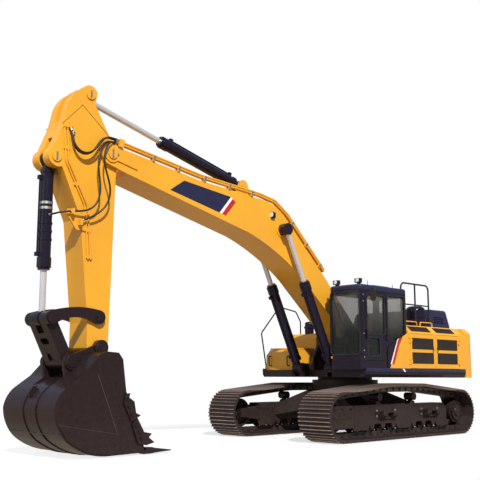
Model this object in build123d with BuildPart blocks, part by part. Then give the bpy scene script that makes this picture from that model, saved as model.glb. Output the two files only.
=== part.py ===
from build123d import *
import os
from math import acos, atan2, cos, hypot, pi, radians, sin, tan

os.makedirs("parts", exist_ok=True)

# Frame: X to the front, Y to the left (cab side), Z up, origin on the ground under the swing axis.

# Tracks
TRACK_CENTRES = 4400
GAUGE = 2700
SHOE_WIDTH = 820
WHEEL_Z = 510
CREST_Z = 1165
CREST_HALF = 640
SHOES = 50
GROUSER = 38
SHOE_PLATE = 24
LINK_HEIGHT = 120
LINK_WIDTH = 250
CHAIN_PLAY = 5
TRACK_FRAME_WIDTH = 460
TRACK_FRAME_TOP = 720
DRIVE_ROOM = 450
IDLER_ROOM = 550
ROLLERS = 9
ROLLER_R = 110
CARRIER_R = 85
SPROCKET_TEETH = 21
DRIVE_R = 255
LEG_X = (520, 860)
LEG_WIDTH = (560, 700)

# Swing
BEARING_R = 760
BEARING_Z = (1120, 1240)
RACE_WIDTH = 130
RACE_GAP = 0.5

# Upper structure
DECK_Z = (1300, 1460)
DECK_X = (-2790, 1190)
SIDE_Y = 1520
SKIRT = 80
WALL = 40
COVER_Z = (2300, 2480)
BEVEL_Y = 1330
COVER_INNER_Y = 900
HOUSING_FRONT = -430
TAIL_CORNER_X = -3130
TAIL_X = -3560
TAIL_BEVEL = 120
TAIL_ROUND = 220
EYE_X = -2960
EYE_Y = 700
TANK_X = (-640, 240)
TANK_Z = 2330
HOOD_X = (-2740, -1780)
HOOD_Y = 1150
HOOD_TOP = 2930
HOOD_SLOPE = 170
HOOD_HINGES = (-450, 450)
BOX_X = (310, 1090)
BOX_TOP = 1930
BOX_NOSE = 130
LEFT_DOORS = ((-1475, -475), (-2505, -1505))
RIGHT_DOOR = (-2505, -1405)
SERVICE_Z = (1500, 2275)
SERVICE_HINGES = (1650, 2130)
LID_HINGES = (-1300, -860)
SLAT = 18
SLAT_PITCH = 44
RAIL_R = 20
RAIL_Y = 1290
RAIL_X = (-1620, -1060, -500)
RAIL_TOP = 3460
CLEANER = (-1480, 1010, 240)
CANISTER = (90, -1000, 110)
MIRROR = (1250, 1800, 3030)

# Cab
CAB_X = (-420, 1290)
CAB_Y = (640, 1500)
CAB_Z = (1500, 3280)
CAB_WALL = 60
CAB_ROUND = 75
ROOF_DEPTH = 110
DOOR_X = (395, 1150)
DOOR_Z = (1650, 3130)
DOOR_SILL = 2190
CAB_HINGES = (2150, 2950)
DOOR_GAP = 6
GLASS = 10
WINDOW_ROUND = 55

# Panel hinges
HINGE_R = 12
HINGE_PIN = 6
HINGE_OUT = 14
HINGE_LEAF = 8

# Pins of the digging arm: x and z of the boom foot, then each pin from the one that carries it
BOOM_FOOT = (180, 2260)
BOOM_REACH = (6770, 2990)
BOOM_CYL_FOOT_FROM_FOOT = (870, -760)
BOOM_CYL_EYE_AT = (0.405, 1048)
STICK_CYL_FOOT_AT = (0.567, 1459)
STICK_TAIL = (430, 1030)
STICK_REACH = (120, -3460)
BUCKET_CYL_FOOT_FROM_TIP = (1080, -230)
GUIDE_FROM_PIN = (30, 520)
ROD_FROM_PIN = (950, 470)
LINK_FROM_PIN = (580, -240)

# Arm widths (half widths across the machine)
BOOM_HALF = 350
STICK_HALF = 275
NOSE_HALF = 262
FORK_GAP = 8
FORK_R = 500
BOOM_CYL_Y = 490
EYE_HALF = 70
PIN_R = 60
PIN_FIT = 0.5
PIN_CAP_R = 95
SIDE_PLAY = 6
TIP_R = 200
FOOT_R = 240

# Boom outline: part of the way from foot to tip, and height over that line
RUN_LOW = ((0.075, -15), (0.27, 400))
RUN_TOP = ((0.175, 770), (0.4, 1345))
KNEE_TOP = (0.463, 1412)
KNEE_LOW = (0.41, 520)
SLOPE_TOP = ((0.525, 1295), (0.74, 715), (0.975, 228))
SLOPE_LOW = ((0.52, 478), (0.94, -135))

# Step on the stick's sides below its nose, from the rod pin
RIDGE = ((560, -660), (170, -230), (-430, -700))

# Cylinders
BARREL_R = 108
BARREL_BORE = 84
GLAND_R = 122
ROD_R = 55
EYE_R = 125
NECK = 200
NECK_R = 68
BOOM_BARREL = 2060
STICK_BARREL = 2250
BUCKET_BARREL = 1940
BOOM_ROD_INSIDE = 790
STICK_ROD_INSIDE = 725
BUCKET_ROD_INSIDE = 1055
TUBE_R = 15
TUBE_OUT = 140

# Oil lines
PIPE_R = 21
PIPE_Y = (306, 352)
PIPE_LIFTS = (70, 118)
PIPE_BEND = 260
CLAMP = 30
STICK_PIPE_R = 16
STICK_PIPE_PITCH = 55
STICK_LINE = ((955, 320), (900, -290), (490, -1020), (395, -1950))
HOSE_R = 17
FERRULE_R = 23
FERRULE = 70
HOSE_GAP = 0.3

# Bucket
BUCKET_HALF = 820
BUCKET_PLATE = 45
EAR_Y = (300, 370)
SADDLE = -400
STRAP = 16
STRAP_Y = (130, 270)
TEETH = 5
TOOTH_HALF = 70
LIP_FROM_PIN = (-630, -1750)
TOOTH_REACH = 610

# Bucket outline from the bucket pin
FLOOR_END = (80, -1765)
HEEL = ((560, -1690), (905, -1500))
BACK = ((1085, -1250), (1140, -1000))
SHOULDER = ((1070, -810), (900, -640))
CROWN = ((650, -470), (330, -140), (170, -75), (-60, -90), (-150, -200))
MOUTH = ((-230, -730), (-410, -1100), (-590, -1390))
BELLY = (350, -1050)
BELLY_SHARE = 0.94
GUIDE_BOSS = 120
LINK_BOSS = 115


def slab(points, y0, y1, mode=Mode.ADD):
    """An X-Z outline carried across the machine from y0 to y1."""
    with BuildSketch(Plane.XZ.offset(-y1)) as outline:
        with BuildLine():
            Polyline(*points, close=True)
        make_face()
    extrude(outline.sketch, amount=y1 - y0, mode=mode)


def block(x, y, z, mode=Mode.ADD):
    """A box between two values on each axis."""
    with BuildSketch(Plane.XY.offset(z[0])) as outline:
        with Locations(((x[0] + x[1]) / 2, (y[0] + y[1]) / 2)):
            Rectangle(x[1] - x[0], y[1] - y[0])
    extrude(outline.sketch, amount=z[1] - z[0], mode=mode)


def pillar(x, y, z, radius, mode=Mode.ADD):
    """A box with rounded upright edges."""
    with BuildSketch(Plane.XY.offset(z[0])) as outline:
        with Locations(((x[0] + x[1]) / 2, (y[0] + y[1]) / 2)):
            RectangleRounded(x[1] - x[0], y[1] - y[0], radius)
    extrude(outline.sketch, amount=z[1] - z[0], mode=mode)


def side_pane(x, y, z, mode=Mode.ADD):
    """A pane in a side wall, with rounded corners."""
    with BuildSketch(Plane.XZ.offset(-y[1])) as outline:
        with Locations(((x[0] + x[1]) / 2, (z[0] + z[1]) / 2)):
            RectangleRounded(x[1] - x[0], z[1] - z[0], WINDOW_ROUND)
    extrude(outline.sketch, amount=y[1] - y[0], mode=mode)


def end_pane(x, y, z, mode=Mode.ADD):
    """A pane in a front or rear wall, with rounded corners."""
    with BuildSketch(Plane.YZ.offset(x[0])) as outline:
        with Locations(((y[0] + y[1]) / 2, (z[0] + z[1]) / 2)):
            RectangleRounded(y[1] - y[0], z[1] - z[0], WINDOW_ROUND)
    extrude(outline.sketch, amount=x[1] - x[0], mode=mode)


def bar(points, x0, x1, mode=Mode.ADD):
    """A Y-Z outline carried along the machine from x0 to x1."""
    with BuildSketch(Plane.YZ.offset(x0)) as outline:
        with BuildLine():
            Polyline(*points, close=True)
        make_face()
    extrude(outline.sketch, amount=x1 - x0, mode=mode)


def drum(centre, radius, y0, y1, mode=Mode.ADD):
    """A cylinder across the machine about an X-Z centre."""
    with BuildSketch(Plane.XZ.offset(-y1)) as outline:
        with Locations(centre):
            Circle(radius)
    extrude(outline.sketch, amount=y1 - y0, mode=mode)


def post(x, y, radius, z0, z1, mode=Mode.ADD):
    """An upright cylinder."""
    with BuildSketch(Plane.XY.offset(z0)) as outline:
        with Locations((x, y)):
            Circle(radius)
    extrude(outline.sketch, amount=z1 - z0, mode=mode)


def tube(points, bends, radius, mode=Mode.ADD):
    """A round bar along straight runs joined by arcs."""
    with BuildLine() as route:
        FilletPolyline(*points, radius=bends)
    with BuildSketch(Plane(origin=route.line @ 0, z_dir=route.line % 0)) as section:
        Circle(radius)
    sweep(section.sketch, path=route.line, mode=mode)


def louvre(face, centre, width, rows, mode=Mode.SUBTRACT):
    """Level slots cut through a wall, centred on a point of the plane's face."""
    with BuildSketch(face) as slots:
        with Locations(centre):
            with GridLocations(0, SLAT_PITCH, 1, rows):
                Rectangle(width, SLAT)
    extrude(slots.sketch, amount=WALL, both=True, mode=mode)


def span(foot, eye):
    return hypot(eye[0] - foot[0], eye[1] - foot[1])


def near(pin, dx, dz):
    return (pin[0] + dx, pin[1] + dz)


def along(foot, eye, distance, side=0):
    """The X-Z point at a distance from foot towards eye, moved sideways."""
    length = span(foot, eye)
    ux = (eye[0] - foot[0]) / length
    uz = (eye[1] - foot[1]) / length
    return (foot[0] + ux * distance - uz * side, foot[1] + uz * distance + ux * side)


boom_foot = BOOM_FOOT
boom_tip = near(BOOM_FOOT, *BOOM_REACH)
boom_length = span(boom_foot, boom_tip)
stick_top = near(boom_tip, *STICK_TAIL)
bucket_pin = near(boom_tip, *STICK_REACH)
stick_length = span(boom_tip, bucket_pin)
bucket_cyl_foot = near(boom_tip, *BUCKET_CYL_FOOT_FROM_TIP)
guide_pin = near(bucket_pin, *GUIDE_FROM_PIN)
rod_pin = near(bucket_pin, *ROD_FROM_PIN)
link_pin = near(bucket_pin, *LINK_FROM_PIN)
boom_cyl_foot = near(BOOM_FOOT, *BOOM_CYL_FOOT_FROM_FOOT)


def on_boom(part_way, height):
    """The X-Z point part of the way from the boom's foot to its tip, at a height over that line."""
    return along(boom_foot, boom_tip, part_way * boom_length, height)


def on_stick(part_way, forward):
    """The X-Z point part of the way from the boom tip to the bucket pin, moved to the front."""
    return along(boom_tip, bucket_pin, part_way * stick_length, forward)


boom_cyl_eye = on_boom(*BOOM_CYL_EYE_AT)
stick_cyl_foot = on_boom(*STICK_CYL_FOOT_AT)


def shaft(foot, eye, y, start, end, radius, side=0, mode=Mode.ADD):
    """A round bar beside the line from foot to eye, between two distances from foot."""
    length = span(foot, eye)
    axis = ((eye[0] - foot[0]) / length, 0, (eye[1] - foot[1]) / length)
    p = along(foot, eye, start, side)
    with BuildSketch(Plane(origin=(p[0], y, p[1]), x_dir=(0, 1, 0), z_dir=axis)) as ring:
        Circle(radius)
    extrude(ring.sketch, amount=end - start, mode=mode)


def port(foot, eye, y, distance, side):
    """A block on a barrel that the oil tube beside it ends in."""
    far = side * (TUBE_OUT + 2 * TUBE_R)
    slab([along(foot, eye, distance - 35, side * BARREL_R * 0.8),
          along(foot, eye, distance + 35, side * BARREL_R * 0.8),
          along(foot, eye, distance + 35, far), along(foot, eye, distance - 35, far)], y - 40, y + 40)


def barrel(foot, eye, y, length, side):
    """A cylinder barrel with its foot eye, end rings, gland, bore and the oil tube on one side."""
    shaft(foot, eye, y, EYE_R * 0.8, NECK + 20, NECK_R)
    shaft(foot, eye, y, NECK, length - 90, BARREL_R)
    shaft(foot, eye, y, NECK, NECK + 60, GLAND_R)
    shaft(foot, eye, y, length - 210, length - 40, GLAND_R)
    shaft(foot, eye, y, length - 40, length, GLAND_R - 20)
    drum(foot, EYE_R, y - EYE_HALF, y + EYE_HALF)
    port(foot, eye, y, NECK + 150, side)
    port(foot, eye, y, length - 260, side)
    shaft(foot, eye, y, NECK + 150, length - 260, TUBE_R, side * TUBE_OUT)
    shaft(foot, eye, y, NECK + 30, length - 70, BARREL_BORE, mode=Mode.SUBTRACT)
    shaft(foot, eye, y, length - 80, length + 10, ROD_R + PIN_FIT, mode=Mode.SUBTRACT)
    drum(foot, PIN_R + PIN_FIT, y - EYE_HALF, y + EYE_HALF, Mode.SUBTRACT)


def rod(foot, eye, y, start):
    """A piston rod with its piston and its eye."""
    length = span(foot, eye)
    shaft(foot, eye, y, start, start + 70, BARREL_BORE - PIN_FIT)
    shaft(foot, eye, y, start + 35, length - EYE_R * 0.8, ROD_R)
    drum(eye, EYE_R, y - EYE_HALF, y + EYE_HALF)


def upright_knuckle(x, face, side, into, z):
    """Moving half of an upright hinge: a tube on the axis and a strap on the panel's face."""
    y = face + side * HINGE_OUT
    post(x, y, HINGE_R, z - 35, z + 35)
    block(sorted((x, x + into * 80)), sorted((face, face + side * HINGE_LEAF)), (z - 35, z + 35))
    block((x - HINGE_LEAF, x + HINGE_LEAF), sorted((face, y)), (z - 35, z + 35))
    post(x, y, HINGE_PIN + PIN_FIT, z - 35, z + 35, Mode.SUBTRACT)


def upright_pin(x, face, side, into, z):
    """Fixed half of an upright hinge: a pin between two lugs on the wall beside the panel."""
    y = face + side * HINGE_OUT
    post(x, y, HINGE_PIN, z - 60, z + 60)
    for low in (z - 62, z + 38):
        post(x, y, HINGE_R, low, low + 24)
        block(sorted((x, x - into * 70)), sorted((face + side * HINGE_LEAF, y)), (low, low + 24))
        block(sorted((x - into * DOOR_GAP, x - into * 70)), sorted((face, y)), (low, low + 24))


def level_knuckle(x, z, back, y):
    """Moving half of a hinge across the machine: a tube joined to a panel's edge at back."""
    drum((x, z), HINGE_R, y - 40, y + 40)
    block(sorted((x, back)), (y - 40, y + 40), (z - HINGE_LEAF, z + HINGE_LEAF))
    drum((x, z), HINGE_PIN + PIN_FIT, y - 40, y + 40, Mode.SUBTRACT)


def level_pin(x, z, foot, y):
    """Fixed half of a hinge across the machine: a pin between two lugs that rise from foot."""
    drum((x, z), HINGE_PIN, y - 65, y + 65)
    for low in (y - 67, y + 43):
        drum((x, z), HINGE_R, low, low + 24)
        block((x - HINGE_R, x + HINGE_R), (low, low + 24), sorted((foot, z)))


def keep(builder, name):
    builder.part.label = name
    export_step(builder.part, "parts/" + name + ".step")


# Track loop: one half from the middle of the bottom run round the front wheel to the crest.
wheel_x = TRACK_CENTRES / 2
pad_r = WHEEL_Z - GROUSER
crest_pad = CREST_Z - GROUSER
crest_d = hypot(CREST_HALF - wheel_x, crest_pad - WHEEL_Z)
leave = atan2(crest_pad - WHEEL_Z, CREST_HALF - wheel_x) - acos(pad_r / crest_d)
bottom_run = wheel_x
wheel_run = pad_r * (leave + pi / 2)
slope_run = (crest_d ** 2 - pad_r ** 2) ** 0.5
half_loop = bottom_run + wheel_run + slope_run + CREST_HALF
shoe_pitch = 2 * half_loop / SHOES


def loop_point(shoe, height):
    """X-Z point at a place along the loop, counted in shoes, and a height over the shoe plate."""
    s = shoe * shoe_pitch
    side = 1
    if s > half_loop:
        s = 2 * half_loop - s
        side = -1
    if s < bottom_run:
        return (side * s, GROUSER - height)
    s -= bottom_run
    if s < wheel_run:
        a = s / pad_r - pi / 2
        return (side * (wheel_x + (pad_r + height) * cos(a)), WHEEL_Z + (pad_r + height) * sin(a))
    s -= wheel_run
    if s < slope_run:
        x = wheel_x + (pad_r + height) * cos(leave) - s * sin(leave)
        return (side * x, WHEEL_Z + (pad_r + height) * sin(leave) + s * cos(leave))
    return (side * (CREST_HALF - (s - slope_run)), crest_pad + height)


shoe_outline = []
for i in range(SHOES):
    shoe_outline.append(loop_point(i, -7))
    for j in range(3):
        mid = i + (j + 0.5) / 3
        shoe_outline.append(loop_point(mid - 0.1, 0))
        shoe_outline.append(loop_point(mid, GROUSER))
        shoe_outline.append(loop_point(mid + 0.1, 0))
plate_back = [loop_point(i, -SHOE_PLATE) for i in range(SHOES)]
link_face = [loop_point(i, -SHOE_PLATE / 2) for i in range(SHOES)]
link_back = [loop_point(i, -SHOE_PLATE - LINK_HEIGHT) for i in range(SHOES)]


def track(y):
    slab(shoe_outline, y - SHOE_WIDTH / 2, y + SHOE_WIDTH / 2)
    slab(plate_back, y - SHOE_WIDTH / 2, y + SHOE_WIDTH / 2, Mode.SUBTRACT)
    slab(link_face, y - LINK_WIDTH / 2, y + LINK_WIDTH / 2)
    slab(link_back, y - LINK_WIDTH / 2, y + LINK_WIDTH / 2, Mode.SUBTRACT)


with BuildPart() as track_left:
    track(GAUGE / 2)
keep(track_left, "track_left")

with BuildPart() as track_right:
    track(-GAUGE / 2)
keep(track_right, "track_right")

# Track frames: a box with sloped shoulders, a bracket over each roller axle, arms to the idler.
frame_half = TRACK_FRAME_WIDTH / 2
frame_x = (DRIVE_ROOM - wheel_x, wheel_x - IDLER_ROOM)
chain_z = GROUSER + SHOE_PLATE + LINK_HEIGHT
roller_z = chain_z + ROLLER_R
roof_z = roller_z + ROLLER_R + 20
eave_z = roller_z + 45
channel_half = 150
arm_half = 165
idler_r = (pad_r - SHOE_PLATE - LINK_HEIGHT) * cos(shoe_pitch / pad_r / 2) - CHAIN_PLAY
roller_first = frame_x[0] + ROLLER_R + 70
roller_last = frame_x[1] - ROLLER_R - 70
roller_pitch = (roller_last - roller_first) / (ROLLERS - 1)
roller_x = [roller_first + i * roller_pitch for i in range(ROLLERS)]
guarded = (0, ROLLERS // 2, ROLLERS - 1)


def track_frame(y, inboard):
    bar([(y - frame_half, eave_z), (y + frame_half, eave_z), (y + frame_half, TRACK_FRAME_TOP - 130),
         (y + frame_half - 90, TRACK_FRAME_TOP), (y - frame_half + 90, TRACK_FRAME_TOP),
         (y - frame_half, TRACK_FRAME_TOP - 130)], *frame_x)
    block(frame_x, (y - channel_half, y + channel_half), (eave_z, roof_z), Mode.SUBTRACT)
    for s in (-1, 1):
        cheek = sorted((y + s * channel_half, y + s * frame_half))
        for i, x in enumerate(roller_x):
            slab([(x - 85, eave_z), (x - 45, roller_z - 60), (x + 45, roller_z - 60), (x + 85, eave_z)],
                 *cheek)
            if i in guarded:
                guard = sorted((y + s * (frame_half - 25), y + s * frame_half))
                slab([(x - 300, eave_z), (x - 240, roller_z - 75), (x + 240, roller_z - 75),
                      (x + 300, eave_z)], *guard)
        arm = sorted((y + s * arm_half, y + s * frame_half))
        slab([(frame_x[1] - 10, TRACK_FRAME_TOP - 60), (wheel_x - 150, WHEEL_Z + 110),
              (wheel_x + 90, WHEEL_Z + 90),
              (wheel_x + 90, WHEEL_Z - 90), (wheel_x - 150, WHEEL_Z - 110), (frame_x[1] - 10, eave_z)], *arm)
    plate = sorted((y - inboard * arm_half, y - inboard * frame_half))
    slab([(frame_x[0] + 10, eave_z), (frame_x[0] + 10, TRACK_FRAME_TOP - 130), (-wheel_x, WHEEL_Z + 170),
          (-wheel_x - 150, WHEEL_Z + 80), (-wheel_x - 150, WHEEL_Z - 80), (-wheel_x, WHEEL_Z - 170)], *plate)
    for x in (-CREST_HALF, CREST_HALF):
        slab([(x - 110, TRACK_FRAME_TOP), (x - 60, TRACK_FRAME_TOP + 60), (x + 60, TRACK_FRAME_TOP + 60),
              (x + 110, TRACK_FRAME_TOP)], y - 60, y + 60)


with BuildPart() as track_frame_left:
    track_frame(GAUGE / 2, 1)
keep(track_frame_left, "track_frame_left")

with BuildPart() as track_frame_right:
    track_frame(-GAUGE / 2, -1)
keep(track_frame_right, "track_frame_right")

with BuildPart() as bottom_rollers:
    for y in (-GAUGE / 2, GAUGE / 2):
        for x in roller_x:
            drum((x, roller_z), 45, y - channel_half, y + channel_half)
            drum((x, roller_z), ROLLER_R - 22, y - 60, y + 60)
            for s in (-1, 1):
                drum((x, roller_z), ROLLER_R, *sorted((y + s * 55, y + s * 130)))
keep(bottom_rollers, "bottom_rollers")

carrier_z = crest_pad - SHOE_PLATE - LINK_HEIGHT - CARRIER_R - 20
with BuildPart() as top_rollers:
    for y in (-GAUGE / 2, GAUGE / 2):
        for x in (-CREST_HALF, CREST_HALF):
            drum((x, carrier_z), CARRIER_R, y - 115, y + 115)
            block((x - 40, x + 40), (y - 40, y + 40), (TRACK_FRAME_TOP + 60, carrier_z))
keep(top_rollers, "top_rollers")

with BuildPart() as idlers:
    for y in (-GAUGE / 2, GAUGE / 2):
        drum((wheel_x, WHEEL_Z), idler_r, y - 100, y + 100)
        for face in (sorted((y - 101, y - 55)), sorted((y + 55, y + 101))):
            drum((wheel_x, WHEEL_Z), idler_r - 60, *face, Mode.SUBTRACT)
        drum((wheel_x, WHEEL_Z), 120, y - 100, y + 100)
        drum((wheel_x, WHEEL_Z), 90, y - arm_half, y + arm_half)
keep(idlers, "idlers")

tooth_angle = 2 * pi / SPROCKET_TEETH
with BuildPart() as sprockets:
    for y in (-GAUGE / 2, GAUGE / 2):
        with BuildSketch(Plane.XZ.offset(-y - 45)) as wheel:
            with BuildLine():
                teeth = []
                for i in range(SPROCKET_TEETH):
                    for step, r in ((-0.3, idler_r - 62), (-0.13, idler_r), (0.13, idler_r),
                                    (0.3, idler_r - 62)):
                        a = (i + step) * tooth_angle
                        teeth.append((-wheel_x + r * cos(a), WHEEL_Z + r * sin(a)))
                Polyline(*teeth, close=True)
            make_face()
        extrude(wheel.sketch, amount=90)
        drum((-wheel_x, WHEEL_Z), DRIVE_R - 20, y - 60, y + 60)
keep(sprockets, "sprockets")

with BuildPart() as final_drives:
    for s in (-1, 1):
        y = s * GAUGE / 2
        drum((-wheel_x, WHEEL_Z), 160, *sorted((y - s * 60, y - s * arm_half)))
        drum((-wheel_x, WHEEL_Z), DRIVE_R, *sorted((y + s * 60, y + s * 190)))
        drum((-wheel_x, WHEEL_Z), DRIVE_R - 55, *sorted((y + s * 190, y + s * 235)))
        drum((-wheel_x, WHEEL_Z), 90, *sorted((y + s * 235, y + s * 250)))
keep(final_drives, "final_drives")

# Centre of the undercarriage: a drum under the bearing and four legs that taper out to the track frames.
inner_y = GAUGE / 2 - frame_half
with BuildPart() as lower_frame:
    post(0, 0, BEARING_R - 40, 600, BEARING_Z[0])
    for sx in (-1, 1):
        for sy in (-1, 1):
            with BuildSketch(Plane.XZ.offset(-sy * 420)) as root:
                with Locations((sx * LEG_X[0], 810)):
                    Rectangle(LEG_WIDTH[0], 420)
            with BuildSketch(Plane.XZ.offset(-sy * inner_y)) as end:
                with Locations((sx * LEG_X[1], 560)):
                    Rectangle(LEG_WIDTH[1], 250)
            loft([root.sketch, end.sketch])
    block((-LEG_X[0], LEG_X[0]), (-420, 420), (600, 1000))
    block((LEG_X[0], 1010), (-60, 60), (700, 820))
    drum((1080, 760), 90, -60, 60)
    drum((1080, 760), 40, -60, 60, Mode.SUBTRACT)
keep(lower_frame, "lower_frame")

race_r = BEARING_R - RACE_WIDTH
with BuildPart() as swing_bearing:
    post(0, 0, BEARING_R, *BEARING_Z)
    post(0, 0, race_r, *BEARING_Z, Mode.SUBTRACT)
keep(swing_bearing, "swing_bearing")

step_y = GAUGE / 2 + frame_half
with BuildPart() as track_steps:
    for s in (-1, 1):
        for x in (-1050, 600):
            bar([(s * step_y, 400), (s * (step_y + 130), 500), (s * (step_y + 130), 590), (s * step_y, 590)],
                x - 260, x + 260)
            block((x - 110, x + 110), sorted((s * (step_y + 40), s * (step_y + 131))), (400, 560),
                  Mode.SUBTRACT)
keep(track_steps, "track_steps")

# Upper frame with the boom-foot brackets and the boom-cylinder brackets.
foot_plate = (BOOM_HALF + SIDE_PLAY, BOOM_HALF + SIDE_PLAY + 70)
cyl_inner = (foot_plate[0], BOOM_CYL_Y - EYE_HALF - SIDE_PLAY)
cyl_outer = (BOOM_CYL_Y + EYE_HALF + SIDE_PLAY, BOOM_CYL_Y + EYE_HALF + SIDE_PLAY + 30)
front_notch = boom_cyl_foot[0] - 190
with BuildPart() as main_frame:
    block(DECK_X, (-SIDE_Y + SKIRT, SIDE_Y - SKIRT), DECK_Z)
    block((front_notch, DECK_X[1] + 10), (-cyl_outer[1], cyl_outer[1]), DECK_Z, Mode.SUBTRACT)
    post(0, 0, race_r - RACE_GAP, BEARING_Z[0] + 30, DECK_Z[0])
    for s in (-1, 1):
        plate = sorted((s * foot_plate[0], s * foot_plate[1]))
        slab([near(boom_foot, -600, DECK_Z[1] - 10 - boom_foot[1]), near(boom_foot, -200, 60),
              near(boom_foot, 205, 20),
              near(boom_foot, 260, -140), (front_notch, DECK_Z[1] - 10)], *plate)
        drum(boom_foot, 210, *plate)
        for side in (cyl_inner, cyl_outer):
            cheek = sorted((s * side[0], s * side[1]))
            foot_x, foot_z = boom_cyl_foot
            slab([(front_notch - 40, DECK_Z[0]), (foot_x + 60, DECK_Z[0]), (foot_x + 110, foot_z - 60),
                  (foot_x, foot_z + 110), (front_notch - 40, foot_z + 110)], *cheek)
            drum(boom_cyl_foot, 120, *cheek)
        drum(boom_cyl_foot, PIN_R, *sorted((s * cyl_inner[0], s * cyl_outer[1])))
    drum(boom_foot, PIN_R, -foot_plate[1], foot_plate[1])
    for s in (-1, 1):
        drum(boom_foot, PIN_CAP_R, *sorted((s * foot_plate[1], s * (foot_plate[1] + 25))))
keep(main_frame, "main_frame")

with BuildPart() as side_skirts:
    for s in (-1, 1):
        bar([(s * (SIDE_Y - SKIRT), DECK_Z[0]), (s * (SIDE_Y - 45), DECK_Z[0]), (s * SIDE_Y, DECK_Z[0] + 60),
             (s * SIDE_Y, DECK_Z[1]), (s * (SIDE_Y - SKIRT), DECK_Z[1])], *DECK_X)
keep(side_skirts, "side_skirts")

with BuildPart() as counterweight:
    with BuildSketch(Plane.XY.offset(DECK_Z[0] - 10)):
        with BuildLine():
            front = DECK_X[0]
            Line((front, -SIDE_Y), (front, SIDE_Y))
            Line((front, SIDE_Y), (TAIL_CORNER_X, SIDE_Y))
            ThreePointArc((TAIL_CORNER_X, SIDE_Y), (TAIL_X, 0), (TAIL_CORNER_X, -SIDE_Y))
            Line((TAIL_CORNER_X, -SIDE_Y), (front, -SIDE_Y))
        make_face()
    extrude(amount=COVER_Z[1] - DECK_Z[0] + 10)
    fillet(counterweight.edges().filter_by(Axis.Z).group_by(Axis.X)[0], TAIL_ROUND)
    top_edges = counterweight.faces().sort_by(Axis.Z)[-1].edges()
    chamfer(top_edges.sort_by(Axis.X)[:-1], TAIL_BEVEL)
    for y in (-EYE_Y, EYE_Y):
        block((EYE_X - 60, EYE_X + 60), (y - 60, y + 60), (COVER_Z[1] - 20, COVER_Z[1] + 140))
        drum((EYE_X, COVER_Z[1] + 80), 32, y - 70, y + 70, Mode.SUBTRACT)
keep(counterweight, "counterweight")

# Side housings: shells with a bevelled shoulder, door openings and grilles.
bevel_slope = atan2(COVER_Z[1] - COVER_Z[0], SIDE_Y - BEVEL_Y)
bevel_mid = ((SIDE_Y + BEVEL_Y) / 2, (COVER_Z[0] + COVER_Z[1]) / 2)


def bevel_face(s):
    """Plane on the bevelled shoulder, with its X along the machine."""
    return Plane(origin=(0, s * bevel_mid[0], bevel_mid[1]), x_dir=(1, 0, 0),
                 z_dir=(0, s * sin(bevel_slope), cos(bevel_slope)))


def housing(s, x):
    outer = [(s * COVER_INNER_Y, DECK_Z[1]), (s * SIDE_Y, DECK_Z[1]), (s * SIDE_Y, COVER_Z[0]),
             (s * BEVEL_Y, COVER_Z[1]), (s * COVER_INNER_Y, COVER_Z[1])]
    inner = [(s * (COVER_INNER_Y - 1), DECK_Z[1] - 1), (s * (SIDE_Y - WALL), DECK_Z[1] - 1),
             (s * (SIDE_Y - WALL), COVER_Z[0] - 15), (s * (BEVEL_Y - 15), COVER_Z[1] - WALL),
             (s * (COVER_INNER_Y - 1), COVER_Z[1] - WALL)]
    bar(outer, *x)
    bar(inner, x[0] + WALL, x[1] - WALL, Mode.SUBTRACT)


def service_opening(s, x):
    wall = sorted((s * (SIDE_Y - WALL - 2), s * (SIDE_Y + 2)))
    block((x[0] - DOOR_GAP, x[1] + DOOR_GAP), wall, (SERVICE_Z[0] - DOOR_GAP, SERVICE_Z[1] + DOOR_GAP),
          Mode.SUBTRACT)


def service_door(s, x, hinge_end):
    """A cover with two rows of grilles and a pair of hinge knuckles on one edge."""
    block(x, sorted((s * SIDE_Y, s * (SIDE_Y - WALL))), SERVICE_Z)
    middle = (x[0] + x[1]) / 2
    for row in (0.3, 0.72):
        z = SERVICE_Z[0] + row * (SERVICE_Z[1] - SERVICE_Z[0])
        louvre(Plane.XZ.offset(-s * SIDE_Y), (middle, z), (x[1] - x[0]) * 0.62, 5)
    for z in SERVICE_HINGES:
        upright_knuckle(x[0] if hinge_end < 0 else x[1], s * SIDE_Y, s, -hinge_end, z)


with BuildPart() as left_housing:
    housing(1, (DECK_X[0], HOUSING_FRONT))
    slab([(HOUSING_FRONT - 1, DECK_Z[1]), (330, DECK_Z[1]), (250, 1600), (-200, 2200),
          (HOUSING_FRONT - 1, COVER_Z[0])],
         CAB_Y[1] + HOSE_GAP, SIDE_Y)
    for x in LEFT_DOORS:
        service_opening(1, x)
        louvre(bevel_face(1), ((x[0] + x[1]) / 2, 0), (x[1] - x[0]) * 0.62, 4)
    for z in SERVICE_HINGES:
        upright_pin(LEFT_DOORS[0][1], SIDE_Y, 1, -1, z)
        upright_pin(LEFT_DOORS[1][0], SIDE_Y, 1, 1, z)
keep(left_housing, "left_housing")

with BuildPart() as right_housing:
    housing(-1, (DECK_X[0], TANK_X[0] - 10))
    service_opening(-1, RIGHT_DOOR)
    for z in SERVICE_HINGES:
        upright_pin(RIGHT_DOOR[0], -SIDE_Y, -1, 1, z)
keep(right_housing, "right_housing")

with BuildPart() as left_front_door:
    service_door(1, LEFT_DOORS[0], 1)
keep(left_front_door, "left_front_door")

with BuildPart() as left_rear_door:
    service_door(1, LEFT_DOORS[1], -1)
keep(left_rear_door, "left_rear_door")

with BuildPart() as right_rear_door:
    service_door(-1, RIGHT_DOOR, -1)
keep(right_rear_door, "right_rear_door")

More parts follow.
